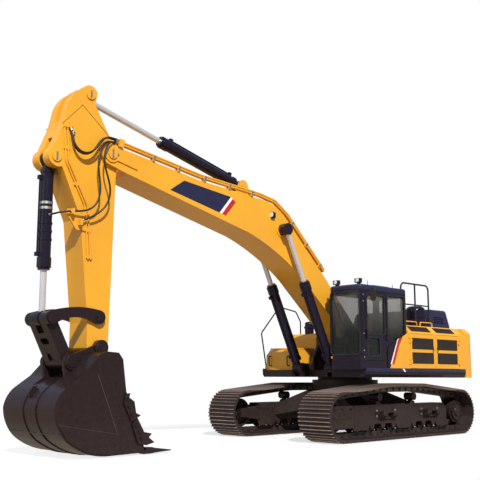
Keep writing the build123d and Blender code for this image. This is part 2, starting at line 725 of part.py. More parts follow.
right_y = (-SIDE_Y + 30, -660)
deck_front = -500
hood_pin = (HOOD_X[0] - HINGE_OUT, COVER_Z[1] + HINGE_OUT)
with BuildPart() as engine_deck:
    block((DECK_X[0], deck_front), (-COVER_INNER_Y, COVER_INNER_Y), (COVER_Z[1] - WALL, COVER_Z[1]))
    block((deck_front - WALL, deck_front), (right_y[1] + DOOR_GAP, COVER_INNER_Y),
          (DECK_Z[1], COVER_Z[1] - WALL))
    block((HOOD_X[0] + 100, HOOD_X[1] - 100), (-COVER_INNER_Y + 100, COVER_INNER_Y - 100),
          (COVER_Z[1] - WALL, COVER_Z[1]), Mode.SUBTRACT)
    for y in HOOD_HINGES:
        level_pin(*hood_pin, COVER_Z[1], y)
keep(engine_deck, "engine_deck")

hood_z = COVER_Z[1] + DOOR_GAP
with BuildPart() as engine_hood:
    for inset, mode in ((0, Mode.ADD), (WALL, Mode.SUBTRACT)):
        low = hood_z - inset
        slab([(HOOD_X[0] + inset, low), (HOOD_X[0] + inset, hood_z + 60),
              (HOOD_X[0] + HOOD_SLOPE + inset, HOOD_TOP - inset),
              (HOOD_X[1] - HOOD_SLOPE - inset, HOOD_TOP - inset), (HOOD_X[1] - inset, hood_z + 60),
              (HOOD_X[1] - inset, low)],
             inset - HOOD_Y, HOOD_Y - inset, mode)
    fillet(engine_hood.faces().sort_by(Axis.Z)[-1].edges().filter_by(Axis.X), 60)
    for s in (-1, 1):
        louvre(Plane.XZ.offset(-s * HOOD_Y), ((HOOD_X[0] + HOOD_X[1]) / 2, hood_z + 190), 460, 4)
    for y in HOOD_HINGES:
        level_knuckle(*hood_pin, HOOD_X[0] + 10, y)
keep(engine_hood, "engine_hood")

with BuildPart() as engine_block:
    block((-2350, -1250), (-480, 480), (DECK_Z[1], COVER_Z[0] - WALL))
keep(engine_block, "engine_block")

with BuildPart() as air_cleaner:
    for (x, y, r), foot, rise in ((CLEANER, COVER_Z[1], 500), (CANISTER, TANK_Z, 300)):
        post(x, y, r, foot, foot + rise)
        post(x, y, r + 20, foot + rise * 0.45, foot + rise * 0.6)
        top_rim = air_cleaner.faces().filter_by(Axis.Z).sort_by(Axis.Z)
        crown = [f for f in top_rim if abs(f.center().Z - foot - rise) < 1]
        fillet(crown[0].edges(), r * 0.55)
keep(air_cleaner, "air_cleaner")

with BuildPart() as fuel_tank:
    slab([(TANK_X[0], DECK_Z[1]), (TANK_X[1], DECK_Z[1]), (TANK_X[1], TANK_Z - 110), (TANK_X[1] - 60, TANK_Z),
          (TANK_X[0], TANK_Z)], *right_y)
    fillet(fuel_tank.edges().filter_by(Axis.X).group_by(Axis.Z)[-1], 45)
    post(-330, -1250, 75, TANK_Z, TANK_Z + 50)
keep(fuel_tank, "fuel_tank")

lid_front = BOX_X[1] - BOX_NOSE
with BuildPart() as tool_box:
    for inset, mode in ((0, Mode.ADD), (WALL, Mode.SUBTRACT)):
        slab([(BOX_X[0] + inset, DECK_Z[1] + inset), (BOX_X[1] - inset, DECK_Z[1] + inset),
              (BOX_X[1] - inset, BOX_TOP - BOX_NOSE), (lid_front - inset, BOX_TOP),
              (BOX_X[0] + inset, BOX_TOP)],
             right_y[0] + inset, right_y[1] - inset, mode)
    for y in LID_HINGES:
        block((BOX_X[0] - 2 * HINGE_OUT, BOX_X[0]), (y - 67, y + 67), (BOX_TOP - 80, BOX_TOP - 10))
        level_pin(BOX_X[0] - HINGE_OUT, BOX_TOP + HINGE_OUT, BOX_TOP - 20, y)
keep(tool_box, "tool_box")

with BuildPart() as tool_box_lid:
    block((BOX_X[0] + DOOR_GAP, lid_front), right_y, (BOX_TOP + DOOR_GAP, BOX_TOP + 40))
    for y in LID_HINGES:
        level_knuckle(BOX_X[0] - HINGE_OUT, BOX_TOP + HINGE_OUT, BOX_X[0] + 2 * DOOR_GAP, y)
keep(tool_box_lid, "tool_box_lid")

# Cab: floor, frame of walls and pillars with rounded corners, crowned roof, panes.
cab_low = CAB_Z[0] + 60
cab_top = CAB_Z[1] - ROOF_DEPTH
cab_mid = CAB_WALL / 2
front_y = (CAB_Y[0] + 60, CAB_Y[1] - 60)
rear_y = (CAB_Y[0] + 90, CAB_Y[1] - 90)
quarter_x = (CAB_X[0] + 130, DOOR_X[0] - 65)
far_x = (CAB_X[0] + 130, CAB_X[1] - 130)
front_z = (1790, 3120)
rear_z = (2400, 3080)
quarter_z = (2100, 3080)
far_z = (2150, 3080)
with BuildPart() as cab_floor:
    pillar(CAB_X, CAB_Y, (DECK_Z[1], cab_low), CAB_ROUND)
keep(cab_floor, "cab_floor")

with BuildPart() as cab_frame:
    pillar(CAB_X, CAB_Y, (cab_low, cab_top), CAB_ROUND)
    block((CAB_X[0] + CAB_WALL, CAB_X[1] - CAB_WALL), (CAB_Y[0] + CAB_WALL, CAB_Y[1] - CAB_WALL),
          (cab_low, cab_top), Mode.SUBTRACT)
    end_pane((CAB_X[1] - CAB_WALL, CAB_X[1]), front_y, front_z, Mode.SUBTRACT)
    end_pane((CAB_X[0], CAB_X[0] + CAB_WALL), rear_y, rear_z, Mode.SUBTRACT)
    side_pane(quarter_x, (CAB_Y[1] - CAB_WALL, CAB_Y[1]), quarter_z, Mode.SUBTRACT)
    side_pane(far_x, (CAB_Y[0], CAB_Y[0] + CAB_WALL), far_z, Mode.SUBTRACT)
    block((DOOR_X[0] - DOOR_GAP, DOOR_X[1] + DOOR_GAP), (CAB_Y[1] - CAB_WALL, CAB_Y[1]),
          (DOOR_Z[0] - DOOR_GAP, DOOR_Z[1] + DOOR_GAP), Mode.SUBTRACT)
    for z in CAB_HINGES:
        upright_pin(DOOR_X[0], CAB_Y[1], 1, 1, z)
keep(cab_frame, "cab_frame")

with BuildPart() as cab_roof:
    pillar(CAB_X, CAB_Y, (cab_top, CAB_Z[1]), CAB_ROUND)
    fillet(cab_roof.faces().sort_by(Axis.Z)[-1].edges(), 55)
    pillar((0, 620), (CAB_Y[0] + 170, CAB_Y[1] - 170), (CAB_Z[1] - 5, CAB_Z[1] + 30), 50)
keep(cab_roof, "cab_roof")

with BuildPart() as cab_glass:
    end_pane((CAB_X[1] - cab_mid - GLASS, CAB_X[1] - cab_mid), front_y, front_z)
    end_pane((CAB_X[0] + cab_mid, CAB_X[0] + cab_mid + GLASS), rear_y, rear_z)
    side_pane(quarter_x, (CAB_Y[1] - cab_mid - GLASS, CAB_Y[1] - cab_mid), quarter_z)
    side_pane(far_x, (CAB_Y[0] + cab_mid, CAB_Y[0] + cab_mid + GLASS), far_z)
keep(cab_glass, "cab_glass")

door_y = (CAB_Y[1] - 50, CAB_Y[1])
upper_pane = ((DOOR_X[0] + 75, DOOR_X[1] - 75), (DOOR_SILL + 40, DOOR_Z[1] - 75))
lower_pane = ((DOOR_X[0] + 260, DOOR_X[1] - 75), (DOOR_Z[0] + 110, DOOR_SILL - 60))
with BuildPart() as cab_door:
    block(DOOR_X, door_y, DOOR_Z)
    for x, z in (upper_pane, lower_pane):
        side_pane(x, door_y, z, Mode.SUBTRACT)
    for z in CAB_HINGES:
        upright_knuckle(DOOR_X[0], CAB_Y[1], 1, 1, z)
    block((DOOR_X[1] - 62, DOOR_X[1] - 22), (CAB_Y[1], CAB_Y[1] + 30), (2120, 2300))
keep(cab_door, "cab_door")

with BuildPart() as door_glass:
    for x, z in (upper_pane, lower_pane):
        side_pane(x, (door_y[0] + 20, door_y[0] + 20 + GLASS), z)
keep(door_glass, "door_glass")

seat_y = (CAB_Y[0] + CAB_Y[1]) / 2
with BuildPart() as seat:
    block((60, 560), (seat_y - 240, seat_y + 240), (cab_low + 330, cab_low + 450))
    slab([(60, cab_low + 450), (170, cab_low + 450), (80, cab_low + 1120), (-30, cab_low + 1120)],
         seat_y - 230, seat_y + 230)
keep(seat, "seat")

with BuildPart() as seat_base:
    block((120, 500), (seat_y - 180, seat_y + 180), (cab_low, cab_low + 330))
keep(seat_base, "seat_base")

with BuildPart() as consoles:
    for s in (-1, 1):
        y = seat_y + s * 300
        block((120, 640), (y - 45, y + 45), (cab_low, cab_low + 560))
        post(600, y, 18, cab_low + 560, cab_low + 780)
    for s in (-1, 1):
        post(1020, seat_y + s * 70, 14, cab_low, cab_low + 520)
keep(consoles, "consoles")

# Rails: the guard on the left cover, the bent rail by the tool box, its grab bars, and the mirror arm.
box_rail_y = -SIDE_Y + 8
with BuildPart() as handrails:
    tube([(RAIL_X[0], RAIL_Y, COVER_Z[1]), (RAIL_X[0], RAIL_Y, RAIL_TOP), (RAIL_X[2], RAIL_Y, RAIL_TOP),
          (RAIL_X[2], RAIL_Y, COVER_Z[1])], 120, RAIL_R)
    post(RAIL_X[1], RAIL_Y, RAIL_R, COVER_Z[1], RAIL_TOP)
    with BuildSketch(Plane.YZ.offset(RAIL_X[0])) as middle_bar:
        with Locations((RAIL_Y, (COVER_Z[1] + RAIL_TOP) / 2)):
            Circle(RAIL_R * 0.8)
    extrude(middle_bar.sketch, amount=RAIL_X[2] - RAIL_X[0])
    tube([(1085, box_rail_y, DECK_Z[1]), (1085, box_rail_y, 1560), (1240, box_rail_y, 2330),
          (610, box_rail_y, 2990),
          (60, box_rail_y + 50, 2900), (-60, box_rail_y + 90, 2650), (-60, box_rail_y + 90, TANK_Z)], 90,
          RAIL_R * 0.8)
    for y in (-1340, -760):
        tube([(BOX_X[1], y, 1560), (BOX_X[1] + 70, y, 1560), (BOX_X[1] + 70, y, 1780), (BOX_X[1], y, 1780)],
             30, 13)
    tube([(MIRROR[0] - 60, CAB_Y[1], MIRROR[2] - 60), (MIRROR[0] - 60, CAB_Y[1] + 70, MIRROR[2] - 60),
          (MIRROR[0] - 20, MIRROR[1] - 130, MIRROR[2]),
          (MIRROR[0] - 5, MIRROR[1] - 40, MIRROR[2])], 60, 12)
    end_pane((MIRROR[0] - 25, MIRROR[0] + 15), (MIRROR[1] - 60, MIRROR[1] + 60),
             (MIRROR[2] - 140, MIRROR[2] + 130))
keep(handrails, "handrails")

lamp_y = (CAB_Y[0] + 130, CAB_Y[1] - 130)
with BuildPart() as roof_lamps:
    for y in lamp_y:
        block((CAB_X[1] - 170, CAB_X[1] - 80), (y - 20, y + 20), (CAB_Z[1], CAB_Z[1] + 30))
        block((CAB_X[1] - 150, CAB_X[1] - 60), (y - 70, y + 70), (CAB_Z[1] + 30, CAB_Z[1] + 125))
keep(roof_lamps, "roof_lamps")

def toward(start, end, distance):
    """The point at a distance from start on the line to end."""
    length = (Vector(*end) - Vector(*start)).length
    return tuple(s + (e - s) * distance / length for s, e in zip(start, end))


def ferrule(end, inner, length):
    """The metal sleeve that carries a hose's end on, away from the hose."""
    far = toward(end, inner, -length)
    with BuildSketch(Plane(origin=end, z_dir=Vector(*far) - Vector(*end))) as ring:
        Circle(FERRULE_R)
    extrude(ring.sketch, amount=length)


# Hoses: each a list of points from its fitting on the boom, or on the stick, to its far fitting.
UPPER_OUTER = [(6880, 361, 5532), (7035, 394, 5541), (7180, 425, 5467), (7275, 437, 5342), (7370, 437, 5221),
               (7500, 427, 5136), (7640, 410, 5150), (7740, 385, 5250), (7775, 355, 5390), (7785, 330, 5510)]
UPPER_INNER = [(6880, 315, 5532), (7025, 332, 5546), (7162, 360, 5484), (7262, 376, 5365), (7350, 379, 5225),
               (7462, 374, 5140), (7590, 362, 5128), (7690, 342, 5195), (7732, 322, 5320), (7740, 313, 5445)]
LOWER_FRONT = [(6880, 315, 5478), (7000, 333, 5475), (7110, 370, 5414), (7203, 402, 5306), (7262, 424, 5160),
               (7288, 440, 4997), (7275, 448, 4826), (7245, 450, 4655), (7232, 448, 4485), (7265, 440, 4325),
               (7350, 425, 4200), (7465, 402, 4130), (7580, 382, 4105), (7690, 365, 4090)]
LOWER_REAR = [(6880, 361, 5478), (6995, 403, 5458), (7098, 445, 5385), (7170, 473, 5270), (7200, 487, 5125),
              (7185, 490, 4972), (7130, 485, 4820), (7068, 475, 4670), (7035, 465, 4515), (7052, 450, 4362),
              (7120, 430, 4228), (7230, 405, 4115), (7360, 380, 4030), (7490, 355, 3965)]
BUCKET_LINE = [(7760, 355, 4080), (7860, 330, 4068), (7945, 270, 4045), (7990, 190, 4030), (8005, 135, 4025)]


def hose(points):
    """A hose whose bends are as wide as its straight runs allow."""
    bends = []
    for a, b, c in zip(points, points[1:], points[2:]):
        first = Vector(*b) - Vector(*a)
        second = Vector(*c) - Vector(*b)
        turn = radians(first.get_angle(second))
        bends.append(0.45 * min(first.length, second.length) / tan(turn / 2))
    print("hose bend radii", [round(r) for r in bends])
    tube(points, bends, HOSE_R)


# Boom: a bent box with arcs at its bend, a round foot, a fork for the stick and cylinder brackets.
fork = STICK_HALF + FORK_GAP
with BuildPart() as boom:
    with BuildSketch(Plane.XZ.offset(-BOOM_HALF)):
        with BuildLine():
            heel = near(boom_foot, FOOT_R * 0.72, -FOOT_R * 0.7)
            brow = near(boom_foot, -FOOT_R * 0.66, FOOT_R * 0.75)
            chin = near(boom_tip, 40, -TIP_R)
            cheek_top = near(boom_tip, 30, TIP_R)
            Line(heel, on_boom(*RUN_LOW[0]))
            Line(on_boom(*RUN_LOW[0]), on_boom(*RUN_LOW[1]))
            ThreePointArc(on_boom(*RUN_LOW[1]), on_boom(*KNEE_LOW), on_boom(*SLOPE_LOW[0]))
            Line(on_boom(*SLOPE_LOW[0]), on_boom(*SLOPE_LOW[1]))
            Line(on_boom(*SLOPE_LOW[1]), chin)
            ThreePointArc(chin, near(boom_tip, TIP_R, 0), cheek_top)
            Line(cheek_top, on_boom(*SLOPE_TOP[2]))
            Line(on_boom(*SLOPE_TOP[2]), on_boom(*SLOPE_TOP[1]))
            Line(on_boom(*SLOPE_TOP[1]), on_boom(*SLOPE_TOP[0]))
            ThreePointArc(on_boom(*SLOPE_TOP[0]), on_boom(*KNEE_TOP), on_boom(*RUN_TOP[1]))
            Line(on_boom(*RUN_TOP[1]), on_boom(*RUN_TOP[0]))
            Line(on_boom(*RUN_TOP[0]), brow)
            ThreePointArc(brow, near(boom_foot, -FOOT_R * 0.7, -FOOT_R * 0.7), heel)
        make_face()
    extrude(amount=2 * BOOM_HALF)
    drum(boom_tip, FORK_R, -fork, fork, Mode.SUBTRACT)
    block((boom_tip[0] - 100, boom_tip[0] + FORK_R), (-fork, fork), (boom_tip[1] - 350, boom_tip[1] + 350),
          Mode.SUBTRACT)
    drum(boom_tip, PIN_R, -BOOM_HALF - 20, BOOM_HALF + 20)
    drum(boom_foot, PIN_R + PIN_FIT, -BOOM_HALF, BOOM_HALF, Mode.SUBTRACT)
    for s in (-1, 1):
        cheek = sorted((s * (EYE_HALF + SIDE_PLAY), s * (EYE_HALF + SIDE_PLAY + 50)))
        slab([near(stick_cyl_foot, -260, -330), near(stick_cyl_foot, -110, 60), near(stick_cyl_foot, 110, 60),
              near(stick_cyl_foot, 260, -300)], *cheek)
        drum(stick_cyl_foot, 125, *cheek)
        drum(boom_cyl_eye, 170, *sorted((s * (BOOM_HALF - 5), s * (BOOM_HALF + 18))))
        drum(boom_cyl_eye, 120, *sorted((s * (BOOM_HALF - 5), s * (BOOM_CYL_Y - EYE_HALF - SIDE_PLAY))))
        face = sorted((s * (BOOM_HALF - 5), s * (BOOM_HALF + 22)))
        drum(boom_tip, TIP_R * 0.78, *face)
        slab([near(boom_tip, -60, -95), near(boom_tip, -60, 95), near(boom_tip, -560, -70),
              near(boom_tip, -560, -200)], *face)
        drum(boom_tip, PIN_CAP_R, *sorted((s * (BOOM_HALF + 22), s * (BOOM_HALF + 45))))
    drum(stick_cyl_foot, PIN_R, -EYE_HALF - SIDE_PLAY - 70, EYE_HALF + SIDE_PLAY + 70)
keep(boom, "boom")


def on_line(a, b, part_way):
    return (a[0] + (b[0] - a[0]) * part_way, a[1] + (b[1] - a[1]) * part_way)


# Steel pipes in two layers along the boom's left top edge, with clamps on its straight runs and an end block.
pipe_route = (on_line(*RUN_TOP, 0.08), RUN_TOP[1], KNEE_TOP, SLOPE_TOP[0], SLOPE_TOP[1],
              on_line(*SLOPE_TOP[1:], 1.03))
pipe_side = (PIPE_Y[0] - PIPE_R - 1, PIPE_Y[1] + PIPE_R + 1)
with BuildPart() as boom_pipes:
    for y in PIPE_Y:
        for lift in PIPE_LIFTS:
            route = []
            for part_way, height in pipe_route:
                x, z = on_boom(part_way, height + lift)
                route.append((x, y, z))
            tube(route, PIPE_BEND, PIPE_R)
    for (low, high), stations in ((RUN_TOP, (0.2, 0.55, 0.9)), (SLOPE_TOP[:2], (0.12, 0.5, 0.9)),
                                  (SLOPE_TOP[1:], (0.28, 0.62))):
        a = on_boom(*low)
        b = on_boom(*high)
        for station in stations:
            mid = station * span(a, b)
            slab([along(a, b, mid - CLAMP), along(a, b, mid + CLAMP), along(a, b, mid + CLAMP, PIPE_LIFTS[1]),
                  along(a, b, mid - CLAMP, PIPE_LIFTS[1])], *pipe_side)
    a = on_boom(*SLOPE_TOP[2])
    b = near(boom_tip, 30, TIP_R)
    slab([along(a, b, 35), along(a, b, 140), along(a, b, 140, 150), along(a, b, 35, 150)], pipe_side[0] + 4,
         pipe_side[1] + 12)
    for points in (UPPER_OUTER, UPPER_INNER, LOWER_FRONT, LOWER_REAR):
        ferrule(points[0], points[1], FERRULE)
keep(boom_pipes, "boom_pipes")


with BuildPart() as boom_lamp:
    lamp_x, lamp_z = near(boom_cyl_eye, 310, 280)
    block((lamp_x - 60, lamp_x + 40), (BOOM_HALF, BOOM_HALF + 62), (lamp_z - 65, lamp_z + 65))
    fillet(boom_lamp.edges().filter_by(Axis.X), 20)
keep(boom_lamp, "boom_lamp")

with BuildPart() as boom_cylinder_barrels:
    for y in (-BOOM_CYL_Y, BOOM_CYL_Y):
        barrel(boom_cyl_foot, boom_cyl_eye, y, BOOM_BARREL, -1)
keep(boom_cylinder_barrels, "boom_cylinder_barrels")

with BuildPart() as boom_cylinder_rods:
    for y in (-BOOM_CYL_Y, BOOM_CYL_Y):
        rod(boom_cyl_foot, boom_cyl_eye, y, BOOM_BARREL - BOOM_ROD_INSIDE)
keep(boom_cylinder_rods, "boom_cylinder_rods")

with BuildPart() as stick_cylinder_barrel:
    barrel(stick_cyl_foot, stick_top, 0, STICK_BARREL, 1)
keep(stick_cylinder_barrel, "stick_cylinder_barrel")

with BuildPart() as stick_cylinder_rod:
    rod(stick_cyl_foot, stick_top, 0, STICK_BARREL - STICK_ROD_INSIDE)
keep(stick_cylinder_rod, "stick_cylinder_rod")


with BuildPart() as bucket_cylinder_barrel:
    barrel(bucket_cyl_foot, rod_pin, 0, BUCKET_BARREL, 1)
    ferrule(BUCKET_LINE[-1], BUCKET_LINE[-2], 36)
keep(bucket_cylinder_barrel, "bucket_cylinder_barrel")

with BuildPart() as bucket_cylinder_rod:
    rod(bucket_cyl_foot, rod_pin, 0, BUCKET_BARREL - BUCKET_ROD_INSIDE)
keep(bucket_cylinder_rod, "bucket_cylinder_rod")

with BuildPart() as hose_upper_outer:
    hose(UPPER_OUTER)
keep(hose_upper_outer, "hose_upper_outer")

with BuildPart() as hose_upper_inner:
    hose(UPPER_INNER)
keep(hose_upper_inner, "hose_upper_inner")

with BuildPart() as hose_lower_front:
    hose(LOWER_FRONT)
keep(hose_lower_front, "hose_lower_front")

with BuildPart() as hose_lower_rear:
    hose(LOWER_REAR)
keep(hose_lower_rear, "hose_lower_rear")

with BuildPart() as hose_bucket_line:
    hose(BUCKET_LINE)
keep(hose_bucket_line, "hose_bucket_line")

# Stick: widest at the boom pin, a narrower slotted nose for the rod, lugs for the bucket cylinder.
slot = EYE_HALF + SIDE_PLAY
with BuildPart() as stick:
    with BuildSketch(Plane.XZ.offset(-STICK_HALF)):
        with BuildLine():
            shin = near(bucket_pin, -205, 0)
            toe = near(bucket_pin, 230, 0)
            lug_low = near(bucket_cyl_foot, -120, -160)
            lug_top = near(bucket_cyl_foot, 60, 165)
            shoulder = on_stick(-0.085, 991)
            brow = on_stick(-0.167, 931)
            nose_front = near(stick_top, 150, 80)
            nose_rear = near(stick_top, -145, 60)
            neck = near(stick_top, -110, -170)
            nape = on_stick(-0.101, 22)
            heel = on_stick(-0.04, -205)
            calf = on_stick(0.085, -162)
            ThreePointArc(shin, near(bucket_pin, 10, -150), toe)
            Line(toe, on_stick(0.878, 245))
            Line(on_stick(0.878, 245), on_stick(0.364, 517))
            Line(on_stick(0.364, 517), lug_low)
            ThreePointArc(lug_low, near(bucket_cyl_foot, 145, -30), lug_top)
            Line(lug_top, shoulder)
            Line(shoulder, brow)
            ThreePointArc(brow, near(stick_top, 360, -110), nose_front)
            ThreePointArc(nose_front, near(stick_top, 10, 165), nose_rear)
            Line(nose_rear, neck)
            Line(neck, nape)
            Line(nape, heel)
            ThreePointArc(heel, on_stick(0.01, -238), calf)
            Line(calf, shin)
        make_face()
    extrude(amount=2 * STICK_HALF)
    for s in (-1, 1):
        side = sorted((s * NOSE_HALF, s * (STICK_HALF + 1)))
        ridge = [near(stick_top, *p) for p in RIDGE]
        slab(ridge + [near(stick_top, -700, 300), near(stick_top, 700, 300)], *side, Mode.SUBTRACT)
    nose_floor = stick_top[1] - 580
    block((stick_top[0] - 700, stick_top[0] + 700), (-slot, slot), (nose_floor, stick_top[1] + 400),
          Mode.SUBTRACT)
    block((bucket_cyl_foot[0] - 170, bucket_cyl_foot[0] + 400), (-slot, slot),
          (bucket_cyl_foot[1] - 420, bucket_cyl_foot[1] + 380), Mode.SUBTRACT)
    drum(bucket_cyl_foot, PIN_R, -slot - 20, slot + 20)
    drum(guide_pin, PIN_R, -STICK_HALF - 70, STICK_HALF + 70)
    drum(boom_tip, PIN_R + PIN_FIT, -STICK_HALF, STICK_HALF, Mode.SUBTRACT)
    drum(bucket_pin, PIN_R + PIN_FIT, -STICK_HALF, STICK_HALF, Mode.SUBTRACT)
    for s in (-1, 1):
        drum(stick_top, PIN_CAP_R, *sorted((s * (NOSE_HALF - 5), s * (NOSE_HALF + 25))))
        drum(bucket_cyl_foot, PIN_CAP_R, *sorted((s * (STICK_HALF - 5), s * (STICK_HALF + 25))))
keep(stick, "stick")

# Pipes and hose blocks on the stick's left face.
stick_line = [near(boom_tip, *p) for p in STICK_LINE]
line_y = STICK_HALF + STICK_PIPE_R + 6
with BuildPart() as stick_pipes:
    for points in (UPPER_OUTER, UPPER_INNER, LOWER_FRONT, LOWER_REAR):
        ferrule(points[-1], points[-2], FERRULE)
    ferrule(BUCKET_LINE[0], BUCKET_LINE[1], FERRULE * 0.7)
    for (x, z), y in (((7732, 5550), 330), ((7807, 5610), 345), ((7725, 4085), 400), ((7552, 3915), 390)):
        block((x - 22, x + 22), (STICK_HALF, y), (z - 50, z + 50))
    block((7800, 7925), (STICK_HALF, STICK_HALF + 45), (5555, 5610))
    slab([(7380, 3790), (7600, 3790), (7790, 4030), (7790, 4130), (7420, 4130)], STICK_HALF, STICK_HALF + 22)
    for dx in (0, STICK_PIPE_PITCH):
        tube([(x - dx, line_y, z) for x, z in stick_line], PIPE_BEND, STICK_PIPE_R)
    for a, b, station in ((0, 1, 0.6), (1, 2, 0.5), (2, 3, 0.45), (2, 3, 0.95)):
        x, z = on_line(stick_line[a], stick_line[b], station)
        block((x - STICK_PIPE_PITCH - CLAMP, x + CLAMP), (STICK_HALF, line_y + 8), (z - CLAMP, z + CLAMP))
keep(stick_pipes, "stick_pipes")

guide_y = (STICK_HALF + SIDE_PLAY, STICK_HALF + SIDE_PLAY + 70)
with BuildPart() as guide_links:
    for s in (-1, 1):
        plate = sorted((s * guide_y[0], s * guide_y[1]))
        drum(guide_pin, GUIDE_BOSS, *plate)
        drum(rod_pin, GUIDE_BOSS, *plate)
        with BuildSketch(Plane.XZ.offset(-plate[1])) as arched:
            with BuildLine():
                ThreePointArc(near(guide_pin, -20, 118), near(guide_pin, 460, 152), near(rod_pin, 60, 103))
                Line(near(rod_pin, 60, 103), near(rod_pin, -30, -116))
                ThreePointArc(near(rod_pin, -30, -116), near(guide_pin, 460, -20), near(guide_pin, 60, -103))
                Line(near(guide_pin, 60, -103), near(guide_pin, -20, 118))
            make_face()
        extrude(arched.sketch, amount=guide_y[1] - guide_y[0])
        drum(rod_pin, PIN_R, *sorted((s * 100, s * guide_y[1])))
        drum(rod_pin, PIN_CAP_R, *sorted((s * guide_y[1], s * (guide_y[1] + 20))))
        drum(guide_pin, PIN_R + PIN_FIT, *plate, Mode.SUBTRACT)
keep(guide_links, "guide_links")

link_y = (EYE_HALF + SIDE_PLAY + 20, STICK_HALF - 5)
link_length = span(link_pin, rod_pin)
with BuildPart() as h_link:
    for s in (-1, 1):
        plate = sorted((s * link_y[0], s * link_y[1]))
        drum(rod_pin, LINK_BOSS, *plate)
        slab([along(link_pin, rod_pin, 0, 110), along(link_pin, rod_pin, 0, -110),
              along(link_pin, rod_pin, link_length, -105), along(link_pin, rod_pin, link_length, 105)],
              *plate)
    drum(link_pin, LINK_BOSS, -link_y[1], link_y[1])
    slab([along(link_pin, rod_pin, 60, 80), along(link_pin, rod_pin, 60, -80),
          along(link_pin, rod_pin, 230, -80), along(link_pin, rod_pin, 230, 80)], -link_y[1], link_y[1])
    slab([along(link_pin, rod_pin, 200, -70), along(link_pin, rod_pin, 200, -105),
          along(link_pin, rod_pin, 580, -105), along(link_pin, rod_pin, 580, -70)], -link_y[1], link_y[1])
    web = along(link_pin, rod_pin, 430, -88)
    out = along((0, 0), (rod_pin[0] - link_pin[0], rod_pin[1] - link_pin[1]), 0, -1)
    with BuildSketch(Plane(origin=(web[0], 0, web[1]), x_dir=(0, 1, 0), z_dir=(out[0], 0, out[1]))) as oval:
        SlotOverall(260, 110)
    extrude(oval.sketch, amount=60, both=True, mode=Mode.SUBTRACT)
    drum(rod_pin, PIN_R + PIN_FIT, -link_y[1], link_y[1], Mode.SUBTRACT)
keep(h_link, "h_link")

# Bucket: a rounded shell between side plates, ears, wear straps and plates, lip, teeth and side cutters.
lip = near(bucket_pin, *LIP_FROM_PIN)


def in_bucket(place, share):
    """A point of the bucket's outline, drawn in towards the belly's middle by a share."""
    return near(bucket_pin, BELLY[0] + (place[0] - BELLY[0]) * share,
                BELLY[1] + (place[1] - BELLY[1]) * share)


def bucket_back(share):
    """Floor, heel, back and shoulder as arcs."""
    ThreePointArc(in_bucket(FLOOR_END, share), in_bucket(HEEL[0], share), in_bucket(HEEL[1], share))
    ThreePointArc(in_bucket(HEEL[1], share), in_bucket(BACK[0], share), in_bucket(BACK[1], share))
    ThreePointArc(in_bucket(BACK[1], share), in_bucket(SHOULDER[0], share), in_bucket(SHOULDER[1], share))


strap_share = 1 + STRAP / span(BELLY, BACK[1])
with BuildPart() as bucket_shell:
    with BuildSketch(Plane.XZ.offset(-BUCKET_HALF)) as side:
        with BuildLine():
            Line(lip, in_bucket(FLOOR_END, 1))
            bucket_back(1)
            Polyline(*[near(bucket_pin, *p) for p in (SHOULDER[1],) + CROWN + MOUTH], lip)
        make_face()
    extrude(side.sketch, amount=2 * BUCKET_HALF)
    with BuildSketch(Plane.XZ.offset(BUCKET_PLATE - BUCKET_HALF)) as hollow:
        with BuildLine():
            bucket_back(BELLY_SHARE)
            Polyline(in_bucket(SHOULDER[1], BELLY_SHARE), near(bucket_pin, 330, SADDLE - BUCKET_PLATE),
                     near(bucket_pin, -700, SADDLE - BUCKET_PLATE), near(lip, -200, BUCKET_PLATE),
                     in_bucket(FLOOR_END, BELLY_SHARE))
        make_face()
    extrude(hollow.sketch, amount=2 * (BUCKET_HALF - BUCKET_PLATE), mode=Mode.SUBTRACT)
    slab([near(bucket_pin, -600, SADDLE), near(bucket_pin, 330, SADDLE), near(bucket_pin, *SHOULDER[1]),
          near(bucket_pin, 1000, 300), near(bucket_pin, -600, 300)], -EAR_Y[0], EAR_Y[0], Mode.SUBTRACT)
    for s in (-1, 1):
        ear = sorted((s * EAR_Y[0], s * EAR_Y[1]))
        slab([near(bucket_pin, -110, -460), near(bucket_pin, -125, 0), near(bucket_pin, 125, 40),
              near(link_pin, -60, 130),
              near(link_pin, 70, 130), near(link_pin, 140, 0), near(bucket_pin, 670, -560)], *ear)
        drum(bucket_pin, 135, *sorted((s * EAR_Y[0], s * (EAR_Y[1] + 30))))
        drum(link_pin, 135, *sorted((s * EAR_Y[0], s * (EAR_Y[1] + 30))))
    drum(bucket_pin, PIN_R, -EAR_Y[1] - 50, EAR_Y[1] + 50)
    for y in (STRAP_Y[1], -STRAP_Y[0]):
        with BuildSketch(Plane.XZ.offset(-y)) as strap:
            with BuildLine():
                bucket_back(strap_share)
                Polyline(in_bucket(SHOULDER[1], strap_share), near(bucket_pin, *SHOULDER[1]),
                         near(bucket_pin, 600, -1000),
                         near(bucket_pin, *FLOOR_END), in_bucket(FLOOR_END, strap_share))
            make_face()
        with BuildSketch(Plane.XZ.offset(-y)) as under_strap:
            with BuildLine():
                bucket_back(0.99)
                Polyline(in_bucket(SHOULDER[1], 0.99), near(bucket_pin, 600, -1000),
                         in_bucket(FLOOR_END, 0.99))
            make_face()
        extrude(strap.sketch - under_strap.sketch, amount=STRAP_Y[1] - STRAP_Y[0])
    for s in (-1, 1):
        heel_plate = sorted((s * (BUCKET_HALF - 5), s * (BUCKET_HALF + 14)))
        slab([near(bucket_pin, -60, -1740), near(bucket_pin, 75, -1750), near(bucket_pin, 550, -1675),
              near(bucket_pin, 890, -1490),
              near(bucket_pin, 1060, -1240), near(bucket_pin, -100, -1430)], *heel_plate)
    slab([near(bucket_pin, 1020, -900), near(bucket_pin, 1150, -760), near(bucket_pin, 1060, -640),
          near(bucket_pin, 920, -700)],
         -25, 25)
keep(bucket_shell, "bucket_shell")

